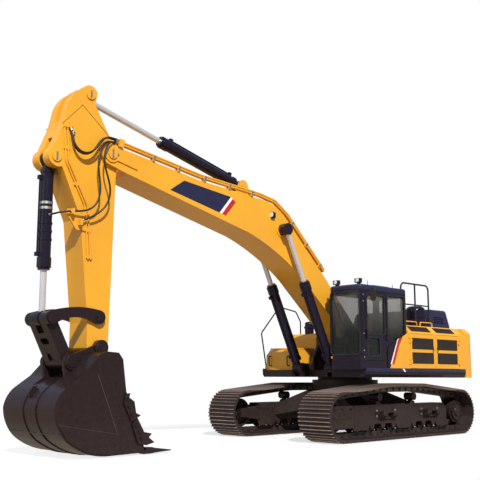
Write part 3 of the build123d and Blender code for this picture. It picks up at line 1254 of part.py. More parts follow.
with BuildPart() as bucket_teeth:
    for i in range(TEETH):
        y = (i / (TEETH - 1) - 0.5) * 2 * (BUCKET_HALF - TOOTH_HALF - 5)
        slab([near(lip, -40, 80), near(lip, -200, 75), near(lip, -200, -25), near(lip, 0, -28),
              near(lip, 0, 0), near(lip, -40, 30)],
             y - TOOTH_HALF, y + TOOTH_HALF)
        with BuildSketch(Plane.YZ.offset(lip[0] - 190)) as root:
            with Locations((y, lip[1] + 25)):
                Rectangle(1.7 * TOOTH_HALF, 90)
        with BuildSketch(Plane.YZ.offset(lip[0] - TOOTH_REACH)) as point:
            with Locations((y, lip[1] + 5)):
                Rectangle(1.2 * TOOTH_HALF, 16)
        loft([root.sketch, point.sketch])
keep(bucket_teeth, "bucket_teeth")

with BuildPart() as side_cutters:
    for s in (-1, 1):
        plate = sorted((s * BUCKET_HALF, s * (BUCKET_HALF + 35)))
        slab([near(bucket_pin, -600, -1410), near(bucket_pin, -760, -1440), near(bucket_pin, -700, -1500),
              near(bucket_pin, -820, -1590),
              near(bucket_pin, -650, -1630), near(bucket_pin, -470, -1590), near(bucket_pin, -350, -1270),
              near(bucket_pin, -450, -1170)], *plate)
        slab([near(bucket_pin, -420, -1090), near(bucket_pin, -520, -1130), near(bucket_pin, -330, -1230),
              near(bucket_pin, -170, -930),
              near(bucket_pin, -190, -770), near(bucket_pin, -290, -760), near(bucket_pin, -270, -830),
              near(bucket_pin, -380, -900)], *plate)
keep(side_cutters, "side_cutters")
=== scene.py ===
import bpy, bmesh, math
from mathutils import Matrix, Vector


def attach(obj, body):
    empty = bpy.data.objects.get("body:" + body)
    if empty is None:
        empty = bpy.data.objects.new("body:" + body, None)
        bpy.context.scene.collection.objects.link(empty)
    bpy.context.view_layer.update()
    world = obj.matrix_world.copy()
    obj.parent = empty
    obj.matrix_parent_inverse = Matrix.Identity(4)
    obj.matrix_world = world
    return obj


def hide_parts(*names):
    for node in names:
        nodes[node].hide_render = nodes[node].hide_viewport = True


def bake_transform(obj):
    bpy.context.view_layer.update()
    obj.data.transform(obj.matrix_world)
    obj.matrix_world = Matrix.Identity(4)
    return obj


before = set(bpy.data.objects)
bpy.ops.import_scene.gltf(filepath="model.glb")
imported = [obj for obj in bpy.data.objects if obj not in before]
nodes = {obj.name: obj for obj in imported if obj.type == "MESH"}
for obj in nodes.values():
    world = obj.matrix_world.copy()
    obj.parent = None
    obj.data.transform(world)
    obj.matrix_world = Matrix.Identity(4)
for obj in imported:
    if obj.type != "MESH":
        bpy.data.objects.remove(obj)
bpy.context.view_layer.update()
scene = bpy.context.scene

# Directions and fits, in metres: X runs to the bucket, Y to the cab's side, Z up.
SIDES = ((1, "left"), (-1, "right"))
REAR, ACROSS, UP = (-1, 0, 0), (0, 1, 0), (0, 0, 1)
FIT = 0.0002
STRIPE_FIT = 0.0003
STRIPE_THICK = 0.0012

# Faces of the solids that the pieces lie on.
BOOM_SIDE = 0.35
COVER_SIDE = 1.52
CAB_SIDE = 1.5
CAB_FRONT = 1.29
SILL_SIDE = 1.532
BUCKET_SIDE = 0.82
FRAME_SIDE = 1.60

# Pins of the arm, as X and Z.
BOOM_FOOT, BOOM_REACH = Vector((0.18, 2.26)), Vector((6.77, 2.99))
BOOM_ROD_PIN = Vector((2.4984, 4.4296))
STICK_PIN = Vector((6.95, 5.25))
STICK_ROD_PIN = Vector((7.38, 6.28))
BUCKET_BARREL_PIN = Vector((8.03, 5.02))
BUCKET_ROD_PIN = Vector((8.02, 2.26))
GUIDE_PIN = Vector((7.10, 2.31))
BUCKET_PIN = Vector((7.07, 1.79))
LINK_PIN_STEP = (0.58, -0.24)

# Track: wheels, the crest of the sagging top run, and the shoes.
WHEEL_X, WHEEL_Z = 2.2, 0.51
CREST_X, CREST_Z = 0.64, 1.127
TREAD_R = 0.472
SHOES = 50


class Socket:
    """A node output that takes part in arithmetic."""

    def __init__(self, shader, out):
        self.shader = shader
        self.out = out

    def math(self, operation, a, b=0.0):
        return self.shader.node("ShaderNodeMath", inputs={0: a, 1: b}, operation=operation)

    def __add__(self, other):
        return self.math("ADD", self, other)

    def __radd__(self, other):
        return self.math("ADD", other, self)

    def __sub__(self, other):
        return self.math("SUBTRACT", self, other)

    def __rsub__(self, other):
        return self.math("SUBTRACT", other, self)

    def __mul__(self, other):
        return self.math("MULTIPLY", self, other)

    def __rmul__(self, other):
        return self.math("MULTIPLY", other, self)

    def most(self, other):
        return self.math("MAXIMUM", self, other)

    def least(self, other):
        return self.math("MINIMUM", self, other)

    def size(self):
        return self.math("ABSOLUTE", self)

    def root(self):
        return self.math("SQRT", self)


class Shader:
    """A node tree that is built from procedural nodes."""

    def __init__(self, tree):
        self.tree = tree

    def feed(self, socket, value):
        if isinstance(value, Socket):
            self.tree.links.new(value.out, socket)
        else:
            socket.default_value = value

    def node(self, kind, out=0, inputs=None, stops=(), **settings):
        """Add a node with its settings and inputs, and give one output, or a list for several."""
        made = self.tree.nodes.new(kind)
        for key, value in settings.items():
            setattr(made, key, value)
        for stop, (position, colour) in enumerate(stops):
            made.color_ramp.elements[stop].position = position
            made.color_ramp.elements[stop].color = colour
        for key, value in (inputs or {}).items():
            self.feed(made.inputs[key], value)
        if isinstance(out, tuple):
            return [Socket(self, made.outputs[key]) for key in out]
        return Socket(self, made.outputs[out])

    def ramp(self, value, low, high, a=0.0, b=1.0):
        return self.node("ShaderNodeMapRange", inputs={"Value": value, "From Min": low, "From Max": high,
                                                       "To Min": a, "To Max": b})

    def mix(self, factor, a, b):
        return self.node("ShaderNodeMix", out=2, inputs={0: factor, 6: a, 7: b}, data_type="RGBA")

    def split(self, vector):
        return self.node("ShaderNodeSeparateXYZ", out=(0, 1, 2), inputs={0: vector})


class Finish(Shader):
    """A material on the object's own coordinates."""

    def __init__(self, name):
        self.material = bpy.data.materials.new(name)
        self.material.use_nodes = True
        super().__init__(self.material.node_tree)
        self.where = self.node("ShaderNodeTexCoord", out="Object")

    def noise(self, scale, detail=4.0, rough=0.55):
        return self.node("ShaderNodeTexNoise", inputs={"Vector": self.where, "Scale": scale, "Detail": detail,
                                                       "Roughness": rough})

    def wire(self, key, value):
        self.feed(self.tree.nodes["Principled BSDF"].inputs[key], value)

    def bump(self, height, strength, distance):
        self.wire("Normal", self.node("ShaderNodeBump", inputs={"Strength": strength, "Distance": distance,
                                                                "Height": height}))


def rgb(r, g, b):
    return (r, g, b, 1.0)


DUST = rgb(0.30, 0.25, 0.19)


def paint(name, colour, worn, dust=DUST, rough=0.4, dusty=0.1, coat=0.15, gloss=0.5):
    """Sprayed paint: slow colour drift, dust that gathers low, fine orange peel."""
    f = Finish(name)
    broad = f.noise(0.9, 3.0)
    fine = f.noise(14.0, 5.0, 0.6)
    z = f.split(f.where)[2]
    base = f.mix(f.ramp(broad, 0.3, 0.7), colour, worn)
    low = f.ramp(z, 2.2, 0.2)
    veil = f.ramp(fine * 0.6 + broad * 0.5, 0.42, 0.75) * (low * dusty + dusty * 0.25)
    f.wire("Base Color", f.mix(veil, base, dust))
    f.wire("Roughness", f.ramp(fine, 0.2, 0.8, rough - 0.06, rough + 0.1))
    f.wire("Specular IOR Level", gloss)
    f.wire("Coat Weight", coat)
    f.wire("Coat Roughness", 0.2)
    f.bump(f.noise(220.0, 2.0), 0.06, 0.002)
    return f.material


def bright(name, colour, worn, metallic, low, high):
    """A clean hard surface: slight drift in colour and gloss."""
    f = Finish(name)
    f.wire("Base Color", f.mix(f.noise(6.0), colour, worn))
    f.wire("Metallic", metallic)
    f.wire("Roughness", f.ramp(f.noise(30.0), 0.2, 0.8, low, high))
    return f.material


def shoe_steel():
    """Track steel: the grousers' tips, farthest from the line between the wheels, are rubbed bright and carry
    a painted highlight, which fades out on the top run.
    """
    f = Finish("shoe_steel")
    x, _, z = f.split(f.where)
    beyond = (x.size() - WHEEL_X).most(0.0)
    rise = z - WHEEL_Z
    far = (beyond * beyond + rise * rise).root()
    grain = f.noise(18.0, 5.0, 0.6)
    # Worn tips, partly real wear and partly painted highlight: a tan colour on the grousers' tips, faded out
    # on the top run.
    worn_tip_and_painted_highlight = f.ramp(far + grain * 0.02, 0.503, 0.517).least(f.ramp(z, 1.10, 0.85, 0.12, 1.0))
    soil = f.ramp(grain * 0.6 + f.noise(2.0, 3.0) * 0.5, 0.45, 0.75, 0.0, 0.45)
    base = f.mix(soil, rgb(0.022, 0.014, 0.014), rgb(0.062, 0.040, 0.036))
    f.wire("Base Color", f.mix(worn_tip_and_painted_highlight, base, rgb(0.46, 0.34, 0.27)))
    f.wire("Metallic", worn_tip_and_painted_highlight * 0.6)
    f.wire("Roughness", f.ramp(grain, 0.2, 0.8, 0.42, 0.6))
    f.bump(f.noise(60.0, 4.0), 0.15, 0.004)
    return f.material


def cab_glass():
    """Tinted panes with a painted reflection of the sky, which pales them towards the roof."""
    f = Finish("cab_glass")
    # Painted reflection: the panes' colour pales with height into a grey that stands in for the sky they
    # reflect.
    painted_sky_reflection = f.ramp(f.split(f.where)[2] + f.noise(1.2) * 0.3, 2.35, 3.25)
    f.wire("Base Color", f.mix(painted_sky_reflection, rgb(0.022, 0.028, 0.026), rgb(0.20, 0.195, 0.185)))
    f.wire("Roughness", f.ramp(f.noise(9.0), 0.3, 0.7, 0.03, 0.08))
    f.wire("Alpha", f.ramp(f.noise(2.0), 0.2, 0.8, 0.32, 0.42))
    return f.material


yellow = paint("yellow_paint", rgb(0.80, 0.385, 0.018), rgb(0.75, 0.345, 0.013), rough=0.38, dusty=0.30)
dark = paint("dark_paint", rgb(0.010, 0.007, 0.021), rgb(0.007, 0.005, 0.014), rough=0.22, dusty=0.05,
             coat=0.08, gloss=0.25)
navy = paint("navy_paint", rgb(0.017, 0.019, 0.062), rgb(0.013, 0.015, 0.050), rough=0.30, dusty=0.08,
             coat=0.1, gloss=0.25)
white = paint("white_paint", rgb(0.82, 0.81, 0.78), rgb(0.75, 0.74, 0.70), dusty=0.2)
red = paint("red_paint", rgb(0.50, 0.012, 0.010), rgb(0.43, 0.010, 0.008))
under = paint("under_paint", rgb(0.017, 0.009, 0.009), rgb(0.011, 0.006, 0.006), rgb(0.08, 0.055, 0.045),
              rough=0.38, dusty=0.3, coat=0.0, gloss=0.3)
bucket_steel = paint("bucket_steel", rgb(0.018, 0.0085, 0.0095), rgb(0.011, 0.006, 0.008),
                     rgb(0.06, 0.036, 0.032), rough=0.30, dusty=0.25, coat=0.1, gloss=0.3)
bead = paint("bucket_bead", rgb(0.055, 0.036, 0.034), rgb(0.040, 0.026, 0.025), coat=0.0)
# Painted shadow: shaded yellow for the dark lines along the stick's welds.
painted_weld_shadow = paint("weld_shadow", rgb(0.16, 0.060, 0.010), rgb(0.12, 0.045, 0.008), rough=0.6, coat=0.0)
mesh_dark = paint("grille_paint", rgb(0.020, 0.012, 0.009), rgb(0.014, 0.009, 0.007), rough=0.5, dusty=0.12,
                  coat=0.0)
rubber = paint("hose_rubber", rgb(0.016, 0.015, 0.016), rgb(0.010, 0.010, 0.011), rough=0.42, dusty=0.08,
               coat=0.0, gloss=0.4)
cloth = paint("seat_cloth", rgb(0.030, 0.031, 0.034), rgb(0.020, 0.020, 0.023), rough=0.8, coat=0.0)
chrome = bright("chrome", rgb(0.80, 0.79, 0.83), rgb(0.68, 0.67, 0.72), 0.55, 0.1, 0.22)
zinc = bright("zinc_plate", rgb(0.62, 0.61, 0.58), rgb(0.46, 0.45, 0.43), 1.0, 0.3, 0.45)
mirror = bright("mirror", rgb(0.85, 0.86, 0.87), rgb(0.80, 0.81, 0.82), 1.0, 0.03, 0.06)
lens = bright("lamp_lens", rgb(0.72, 0.73, 0.75), rgb(0.60, 0.61, 0.64), 0.0, 0.05, 0.15)
amber = bright("amber_lens", rgb(0.80, 0.25, 0.02), rgb(0.70, 0.20, 0.02), 0.0, 0.1, 0.2)
steel = shoe_steel()
glass = cab_glass()

# Finish of each solid. What isn't listed is dark paint.
FINISHES = (
    (yellow, ("boom", "stick", "counterweight", "left_housing", "right_housing", "left_front_door",
              "left_rear_door", "right_rear_door", "tool_box", "tool_box_lid", "fuel_tank", "engine_deck",
              "boom_pipes", "stick_pipes")),
    (under, ("lower_frame", "track_frame_left", "track_frame_right", "bottom_rollers", "top_rollers",
             "idlers", "sprockets", "final_drives", "swing_bearing", "track_steps", "main_frame")),
    (bucket_steel, ("bucket_shell", "bucket_teeth", "side_cutters", "guide_links", "h_link")),
    (steel, ("track_left", "track_right")),
    (chrome, ("boom_cylinder_rods", "stick_cylinder_rod", "bucket_cylinder_rod")),
    (glass, ("cab_glass", "door_glass")),
    (rubber, ("hose_upper_outer", "hose_upper_inner", "hose_lower_front", "hose_lower_rear",
              "hose_bucket_line", "handrails")),
    (cloth, ("seat",)),
    (navy, ("cab_roof", "engine_hood")))
finish_of = {name: finish for finish, names in FINISHES for name in names}
for name, obj in nodes.items():
    obj.data.materials.clear()
    obj.data.materials.append(finish_of.get(name, dark))


def smooth_mesh(mesh, angle):
    for polygon in mesh.polygons:
        polygon.use_smooth = True
    mesh.set_sharp_from_angle(angle=math.radians(angle))


def shown_object(name, mesh, material, angle):
    """A finished mesh as an object at the origin."""
    mesh.materials.clear()
    mesh.materials.append(material)
    smooth_mesh(mesh, angle)
    obj = bpy.data.objects.new(name, mesh)
    scene.collection.objects.link(obj)
    return obj


def piece(name, bm, body, material):
    """Turn a bmesh into an object that rides a body."""
    bmesh.ops.recalc_face_normals(bm, faces=bm.faces[:])
    mesh = bpy.data.meshes.new(name)
    bm.to_mesh(mesh)
    bm.free()
    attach(shown_object(name, mesh, material, 35.0), body)


def facing(centre, u, v):
    """A frame at centre with X along u, Y along v and Z out of the surface."""
    u, v = Vector(u).normalized(), Vector(v).normalized()
    return Matrix.Translation(Vector(centre)) @ Matrix((u, v, u.cross(v))).transposed().to_4x4()


def brick(bm, place, x, y, z):
    middle = [(a + b) / 2 for a, b in (x, y, z)]
    size = [abs(b - a) for a, b in (x, y, z)]
    bmesh.ops.create_cube(bm, size=1.0, matrix=place @ Matrix.LocRotScale(Vector(middle), None, Vector(size)))


def box(bm, x, y, z):
    brick(bm, Matrix.Identity(4), x, y, z)


def round_edges(bm, offset, segments):
    bmesh.ops.bevel(bm, geom=bm.edges[:], offset=offset, affect="EDGES", segments=segments, profile=0.5,
                    material=-1)


def rod(bm, a, b, r, sides=20, r2=None):
    a, b = Vector(a), Vector(b)
    turn = (b - a).to_track_quat("Z", "Y").to_matrix().to_4x4()
    bmesh.ops.create_cone(bm, cap_ends=True, segments=sides, radius1=r, radius2=r if r2 is None else r2,
                          depth=(b - a).length, matrix=Matrix.Translation((a + b) / 2) @ turn)


def drum(bm, pin, low, high, r, sides=40, r2=None):
    """A rod along Y on a pin's X and Z."""
    rod(bm, (pin[0], low, pin[1]), (pin[0], high, pin[1]), r, sides, r2)


def bolt(bm, at, out, r):
    """A hexagon head on a washer."""
    at, out = Vector(at), Vector(out).normalized()
    washer = at + out * r * 0.25
    rod(bm, at, washer, r * 1.5, 16)
    rod(bm, washer, at + out * r, r, 6)


def collar(bm, a, b, inner, outer, sides=40):
    """A ring round the line from a to b."""
    a, b = Vector(a), Vector(b)
    along = (b - a).normalized()
    aside = along.orthogonal().normalized()
    verts = [bm.verts.new(end + aside * r) for end, r in ((a, inner), (a, outer), (b, outer), (b, inner))]
    edges = [bm.edges.new((verts[i - 1], verts[i])) for i in range(4)]
    bmesh.ops.spin(bm, geom=verts + edges, cent=a, axis=along, angle=2 * math.pi, steps=sides, use_merge=True)


def grow(bm, faces, shift):
    """Carry faces along shift, with walls behind them."""
    grown = bmesh.ops.extrude_face_region(bm, geom=faces)
    moved = [g for g in grown["geom"] if isinstance(g, bmesh.types.BMVert)]
    bmesh.ops.translate(bm, verts=moved, vec=Vector(shift))


def prism(bm, corners, shift):
    """A flat outline carried along shift."""
    grow(bm, [bm.faces.new([bm.verts.new(c) for c in corners])], shift)


def side_sheet(bm, corners, y, thick):
    """A plate on a side face, its corners given as X and Z."""
    prism(bm, [(x, y, z) for x, z in corners], (0, math.copysign(thick, y), 0))


def sheet_piece(name, corners, y, thick, body, material):
    bm = bmesh.new()
    side_sheet(bm, corners, y, thick)
    piece(name, bm, body, material)


def line_strip(bm, a, b, wide, y, thick):
    """A thin strip on a side face, from a to b as X and Z."""
    a, b = Vector(a), Vector(b)
    way = (b - a).normalized()
    over = Vector((-way.y, way.x)) * wide
    side_sheet(bm, [a, b, b + over, a + over], y, thick)


def gasket(bm, place, width, height, round_r, band, thick):
    """A rounded frame round a pane."""
    ring = bmesh.new()
    bmesh.ops.create_grid(ring, x_segments=1, y_segments=1, size=0.5,
                          matrix=place @ Matrix.Diagonal((width, height, 1.0, 1.0)))
    bmesh.ops.bevel(ring, geom=ring.verts[:], offset=round_r, affect="VERTICES", segments=6, profile=0.5,
                    material=-1)
    middle = ring.faces[:]
    bmesh.ops.inset_region(ring, faces=middle, thickness=band, use_boundary=True, use_even_offset=True)
    bmesh.ops.delete(ring, geom=middle, context="FACES_ONLY")
    grow(ring, ring.faces[:], place.to_3x3() @ Vector((0, 0, thick)))
    mesh = bpy.data.meshes.new("ring")
    ring.to_mesh(mesh)
    ring.free()
    bm.from_mesh(mesh)
    bpy.data.meshes.remove(mesh)


def grille(name, place, width, height, slats, body):
    """A dark pressed panel with slats in a raised rim."""
    rim = 0.02
    bm = bmesh.new()
    brick(bm, place, (-width / 2, width / 2), (-height / 2, height / 2), (0.0005, 0.002))
    pitch = (height - 2 * rim) / slats
    for i in range(slats):
        at = -height / 2 + rim + (i + 0.5) * pitch
        brick(bm, place, (-width / 2 + rim, width / 2 - rim), (at - pitch * 0.28, at + pitch * 0.28),
              (0.002, 0.006))
    gasket(bm, place, width, height, rim, 0.014, 0.009)
    piece(name, bm, body, mesh_dark)


def pipe_mesh(name, points, r):
    """A tube on a smooth spline, and the points of the spline."""
    curve = bpy.data.curves.new(name, "CURVE")
    curve.dimensions = "3D"
    curve.resolution_u = 8
    spline = curve.splines.new("NURBS")
    spline.points.add(len(points) - 1)
    for point, at in zip(spline.points, points):
        point.co = (*at, 1.0)
    spline.order_u = 3
    spline.use_endpoint_u = True
    route = bpy.data.objects.new(name + "_route", curve)
    line = bpy.data.meshes.new_from_object(route)
    path = [v.co.copy() for v in line.vertices]
    bpy.data.meshes.remove(line)
    curve.bevel_depth = r
    curve.bevel_resolution = 4
    curve.use_fill_caps = True
    mesh = bpy.data.meshes.new_from_object(route)
    bpy.data.objects.remove(route)
    bpy.data.curves.remove(curve)
    mesh.name = name
    return mesh, path


def painted_stripes():
    """Band and stripes on the boom, stripes on the left cover, and the dark fairing beside them."""
    for s, side in SIDES:
        for name, corners, material in (
                ("boom_band_", [(5.25, 5.05), (5.60, 4.81), (4.32, 4.55), (4.01, 4.92)], navy),
                ("boom_white_stripe_", [(4.32, 4.55), (4.01, 4.92), (3.96, 4.89), (4.25, 4.54)], white),
                ("boom_red_stripe_", [(4.25, 4.54), (3.96, 4.89), (3.87, 4.83), (4.15, 4.51)], red)):
            sheet_piece(name + side, corners, s * (BOOM_SIDE + STRIPE_FIT), STRIPE_THICK, "boom", material)
    sheet_piece("cover_fairing", [(0.335, 1.462), (0.38, 1.462), (0.38, 1.94), (0.25, 2.01), (0.02, 2.13),
                                  (-0.04, 2.16), (-0.16, 2.17), (0.25, 1.61)],
                CAB_SIDE + 0.001, 0.0185, "upper", dark)
    for name, corners, material in (
            ("cover_white_stripe", [(0.30, 1.58), (0.02, 2.13), (-0.02, 2.15), (0.25, 1.58)], white),
            ("cover_red_stripe", [(0.25, 1.58), (-0.02, 2.15), (-0.13, 2.17), (0.16, 1.58)], red)):
        sheet_piece(name, corners, COVER_SIDE + STRIPE_FIT, STRIPE_THICK, "upper", material)


def deck_sills():
    """Sill along the left and right deck edge, with a white tick on the left one."""
    for s, side in SIDES:
        bm = bmesh.new()
        box(bm, (-2.785, 1.185), (s * (COVER_SIDE + FIT), s * SILL_SIDE), (1.412, 1.494))
        round_edges(bm, 0.004, 2)
        piece("sill_" + side, bm, "upper", navy)
    sheet_piece("sill_tick", [(-0.12, 1.486), (-0.19, 1.486), (-0.26, 1.42), (-0.19, 1.42)], SILL_SIDE + FIT,
                0.001, "upper", white)


def cover_grilles():
    """Grilles on the left doors, the shoulder over them and the hood, with latches and top handles."""
    face = COVER_SIDE + FIT
    shoulder_up = (0, -0.726, 0.688)
    hood_up = (-0.405, 0, 0.914)
    for door, middle in (("left_front_door", -0.975), ("left_rear_door", -2.005)):
        for row, z in (("low", 1.7325), ("high", 2.058)):
            grille(door + "_grille_" + row, facing((middle, face, z), REAR, UP), 0.86, 0.25, 10, door)
        grille(door + "_shoulder_grille", facing((middle, 1.4252, 2.3902), REAR, shoulder_up), 0.8, 0.17, 6,
               "upper")
    grille("hood_grille", facing((-1.8645, 0, 2.7385), ACROSS, hood_up), 1.6, 0.28, 12, "engine_hood")
    for body, x in (("left_front_door", -1.40), ("left_rear_door", -1.58)):
        bm = bmesh.new()
        gasket(bm, facing((x, face, 1.93), REAR, UP), 0.06, 0.12, 0.02, 0.012, 0.006)
        rod(bm, (x, COVER_SIDE + 0.0005, 1.945), (x, COVER_SIDE + 0.009, 1.945), 0.016)
        piece("latch_" + body, bm, body, dark)
    y, foot, bend, top, turn = 1.30, 2.47, 2.56, 2.575, 0.03
    for k, (a, b) in enumerate(((-0.62, -1.08), (-1.22, -1.72))):
        name = "top_handle_%d" % k
        mesh = pipe_mesh(name, [(a, y, foot), (a, y, bend), (a - turn, y, top), (b + turn, y, top),
                                (b, y, bend), (b, y, foot)], 0.014)[0]
        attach(shown_object(name, mesh, yellow, 50), "upper")


def cab_windows():
    """Gaskets round the panes, and the wiper on the windscreen."""
    side = CAB_SIDE - 0.0005
    bm = bmesh.new()
    gasket(bm, facing((CAB_FRONT - 0.0005, 1.07, 2.455), ACROSS, UP), 0.82, 1.39, 0.09, 0.034, 0.010)
    gasket(bm, facing((0.02, side, 2.59), REAR, UP), 0.68, 1.04, 0.08, 0.03, 0.008)
    piece("cab_gaskets", bm, "upper", rubber)
    bm = bmesh.new()
    gasket(bm, facing((0.7725, side, 2.6425), REAR, UP), 0.665, 0.885, 0.08, 0.03, 0.008)
    gasket(bm, facing((0.865, side, 1.945), REAR, UP), 0.48, 0.43, 0.07, 0.03, 0.008)
    piece("door_gaskets", bm, "cab_door", rubber)
    bm = bmesh.new()
    rod(bm, (1.292, 0.80, 3.12), (1.318, 0.80, 3.12), 0.022)
    rod(bm, (1.312, 0.80, 3.12), (1.303, 0.93, 2.78), 0.008)
    rod(bm, (1.299, 0.83, 3.02), (1.299, 1.02, 2.50), 0.007)
    piece("wiper", bm, "upper", rubber)


def cab_fittings():
    """Aerials, lamp lenses, pillar bolts, mirror glass, marker lamp and the controls inside."""
    lever_y = (0.77, 1.37)
    bm = bmesh.new()
    for x, y, low, high in ((0.63, 1.2, 3.27, 3.42), (-0.30, 1.2, 3.26, 3.40)):
        rod(bm, (x, y, low), (x, y, low + 0.045), 0.022, 20, 0.014)
        rod(bm, (x, y, low + 0.04), (x, y, high), 0.006)
    piece("aerials", bm, "upper", rubber)
    bm = bmesh.new()
    for y in lever_y:
        rod(bm, (1.2302, y, 3.3575), (1.240, y, 3.3575), 0.044, 32, 0.038)
    piece("roof_lamp_lenses", bm, "upper", lens)
    bm = bmesh.new()
    rod(bm, (2.8482, 0.381, 4.71), (2.858, 0.381, 4.71), 0.052, 32, 0.046)
    piece("boom_lamp_lens", bm, "boom", lens)
    bm = bmesh.new()
    for z in (3.05, 2.91, 2.22, 1.86, 1.72):
        bolt(bm, (1.20, CAB_SIDE + FIT, z), ACROSS, 0.013)
    piece("pillar_bolts", bm, "upper", zinc)
    bm = bmesh.new()
    box(bm, (1.2215, 1.2248), (1.748, 1.852), (2.90, 3.15))
    piece("mirror_glass", bm, "upper", mirror)
    bm = bmesh.new()
    box(bm, (CAB_FRONT + FIT, CAB_FRONT + 0.008), (0.672, 0.712), (1.70, 1.745))
    piece("marker_lamp", bm, "upper", amber)
    bm = bmesh.new()
    for y in lever_y:
        bmesh.ops.create_uvsphere(bm, u_segments=20, v_segments=12, radius=0.032,
                                  matrix=Matrix.Translation((0.60, y, 2.355)))
    box(bm, (0.98, 1.02), (0.72, 0.90), (2.02, 2.18))
    rod(bm, (0.98, 0.80, 1.56), (0.99, 0.80, 2.03), 0.014)
    piece("controls", bm, "upper", rubber)


def undercarriage_trim():
    """Idler boxes, bolts on the steps and drives, and drive hubs."""
    for s, side in SIDES:
        out = (0, s, 0)
        bm = bmesh.new()
        box(bm, (1.74, 2.42), (s * 1.52, s * FRAME_SIDE), (0.27, 0.73))
        round_edges(bm, 0.018, 3)
        box(bm, (1.80, 2.36), (s * 1.59, s * 1.612), (0.47, 0.50))
        piece("idler_box_" + side, bm, "undercarriage", under)
        bm = bmesh.new()
        for x in (-1.05, 0.6):
            for z in (0.49, 0.60):
                bolt(bm, (x + 0.32, s * 1.58, z), out, 0.020)
                bolt(bm, (x - 0.32, s * 1.58, z), out, 0.020)
        piece("step_bolts_" + side, bm, "undercarriage", zinc)
        bm = bmesh.new()
        for x in (1.82, 2.08, 2.34):
            bolt(bm, (x, s * FRAME_SIDE, 0.66), out, 0.020)
        drive_bolts, circle_r = 12, 0.2
        for k in range(drive_bolts):
            angle = k * 2 * math.pi / drive_bolts
            x, z = -WHEEL_X + circle_r * math.cos(angle), WHEEL_Z + circle_r * math.sin(angle)
            bolt(bm, (x, s * FRAME_SIDE, z), out, 0.016)
        piece("undercarriage_bolts_" + side, bm, "undercarriage", under)
        bm = bmesh.new()
        drum(bm, (-WHEEL_X, WHEEL_Z), s * (FRAME_SIDE - 0.001), s * (FRAME_SIDE + 0.015), 0.12, 40, 0.11)
        piece("drive_hub_" + side, bm, "undercarriage", under)


def loop_point(shoe, height):
    """X and Z at a place along the track, counted in shoes, and a height over the shoe plate."""
    span = math.hypot(CREST_X - WHEEL_X, CREST_Z - WHEEL_Z)
    leave = math.atan2(CREST_Z - WHEEL_Z, CREST_X - WHEEL_X) - math.acos(TREAD_R / span)
    round_wheel = TREAD_R * (leave + math.pi / 2)
    slope = math.sqrt(span ** 2 - TREAD_R ** 2)
    half = WHEEL_X + round_wheel + slope + CREST_X
    r = TREAD_R + height
    s, end = (shoe % SHOES) * 2 * half / SHOES, 1
    if s > half:
        s, end = 2 * half - s, -1
    if s < WHEEL_X:
        return Vector((end * s, WHEEL_Z - r))
    s -= WHEEL_X
    if s < round_wheel:
        a = s / TREAD_R - math.pi / 2
        return Vector((end * (WHEEL_X + r * math.cos(a)), WHEEL_Z + r * math.sin(a)))
    s -= round_wheel
    if s < slope:
        return Vector((end * (WHEEL_X + r * math.cos(leave) - s * math.sin(leave)),
                       WHEEL_Z + r * math.sin(leave) + s * math.cos(leave)))
    return Vector((end * (CREST_X - (s - slope)), CREST_Z + height))


def track_trim():
    """A lip at each joint between shoes, and pin ends along the chain."""
    lip_height, pin_height, step = -0.026, -0.088, 0.04
    for s, side in SIDES:
        lips, pins = bmesh.new(), bmesh.new()
        for shoe in range(SHOES):
            at = loop_point(shoe, lip_height)
            way = loop_point(shoe + step, lip_height) - loop_point(shoe - step, lip_height)
            for y in (1.0825, 1.6175):
                brick(lips, facing((at.x, s * y, at.y), (way.x, 0, way.y), ACROSS), (-0.014, 0.014),
                      (-0.1425, 0.1425), (-0.007, 0.007))
            at = loop_point(shoe + 0.25, pin_height)
            for y in (1.212, 1.475):
                drum(pins, at, s * y, s * (y + 0.013), 0.034, 12)
        piece("shoe_lips_" + side, lips, "undercarriage", steel)
        piece("chain_pins_" + side, pins, "undercarriage", under)


def rod_eyes():
    """Eyes at the ends of the cylinder rods, and the bosses they turn on."""
    middle = ((-0.0715, 0.0715),)
    for body, pin, spans in (("boom_rods", BOOM_ROD_PIN, ((-0.5615, -0.4185), (0.4185, 0.5615))),
                             ("stick_rod", STICK_ROD_PIN, middle), ("bucket_rod", BUCKET_ROD_PIN, middle)):
        bm = bmesh.new()
        for low, high in spans:
            drum(bm, pin, low, high, 0.1262)
        piece(body + "_eyes", bm, body, dark)
    bm = bmesh.new()
    for s in (-1, 1):
        drum(bm, BOOM_ROD_PIN, s * 0.3682, s * 0.4138, 0.1215)
    piece("eye_bosses", bm, "boom", rubber)


def on_boom(part_way, height):
    """X and Z at a share of the boom's line from foot to tip, and a height over that line."""
    way = BOOM_REACH.normalized()
    return BOOM_FOOT + BOOM_REACH * part_way + Vector((-way.y, way.x)) * height


def boom_fittings():
    """Keeper and bolts of the stick's pin, and clamps along the boom's pipes."""
    bm = bmesh.new()
    for s in (-1, 1):
        for x in (-0.125, 0.125):
            bolt(bm, (STICK_PIN.x + x, s * 0.372, STICK_PIN.y), (0, s, 0), 0.016)
        box(bm, (STICK_PIN.x - 0.02, STICK_PIN.x + 0.02), (s * 0.3952, s * 0.402),
            (STICK_PIN.y - 0.08, STICK_PIN.y + 0.08))
    clamp_y, clamp_thick = 0.3742, 0.004
    for low, high, stations in (((0.175, 0.770), (0.4, 1.345), (0.2, 0.55, 0.9)),
                                ((0.525, 1.295), (0.74, 0.715), (0.12, 0.5, 0.9)),
                                ((0.74, 0.715), (0.975, 0.228), (0.28, 0.62))):
        a, b = on_boom(*low), on_boom(*high)
        way = (b - a).normalized()
        out = Vector((-way.y, way.x))
        for station in stations:
            at = a + (b - a) * station
            place = facing((at.x, clamp_y, at.y), (-way.x, 0, -way.y), (out.x, 0, out.y))
            brick(bm, place, (-0.026, 0.026), (0.012, 0.116), (0.0, clamp_thick))
            centre = at + out * 0.094
            bolt(bm, (centre.x, clamp_y + clamp_thick, centre.y), ACROSS, 0.012)
    piece("boom_fittings", bm, "boom", zinc)


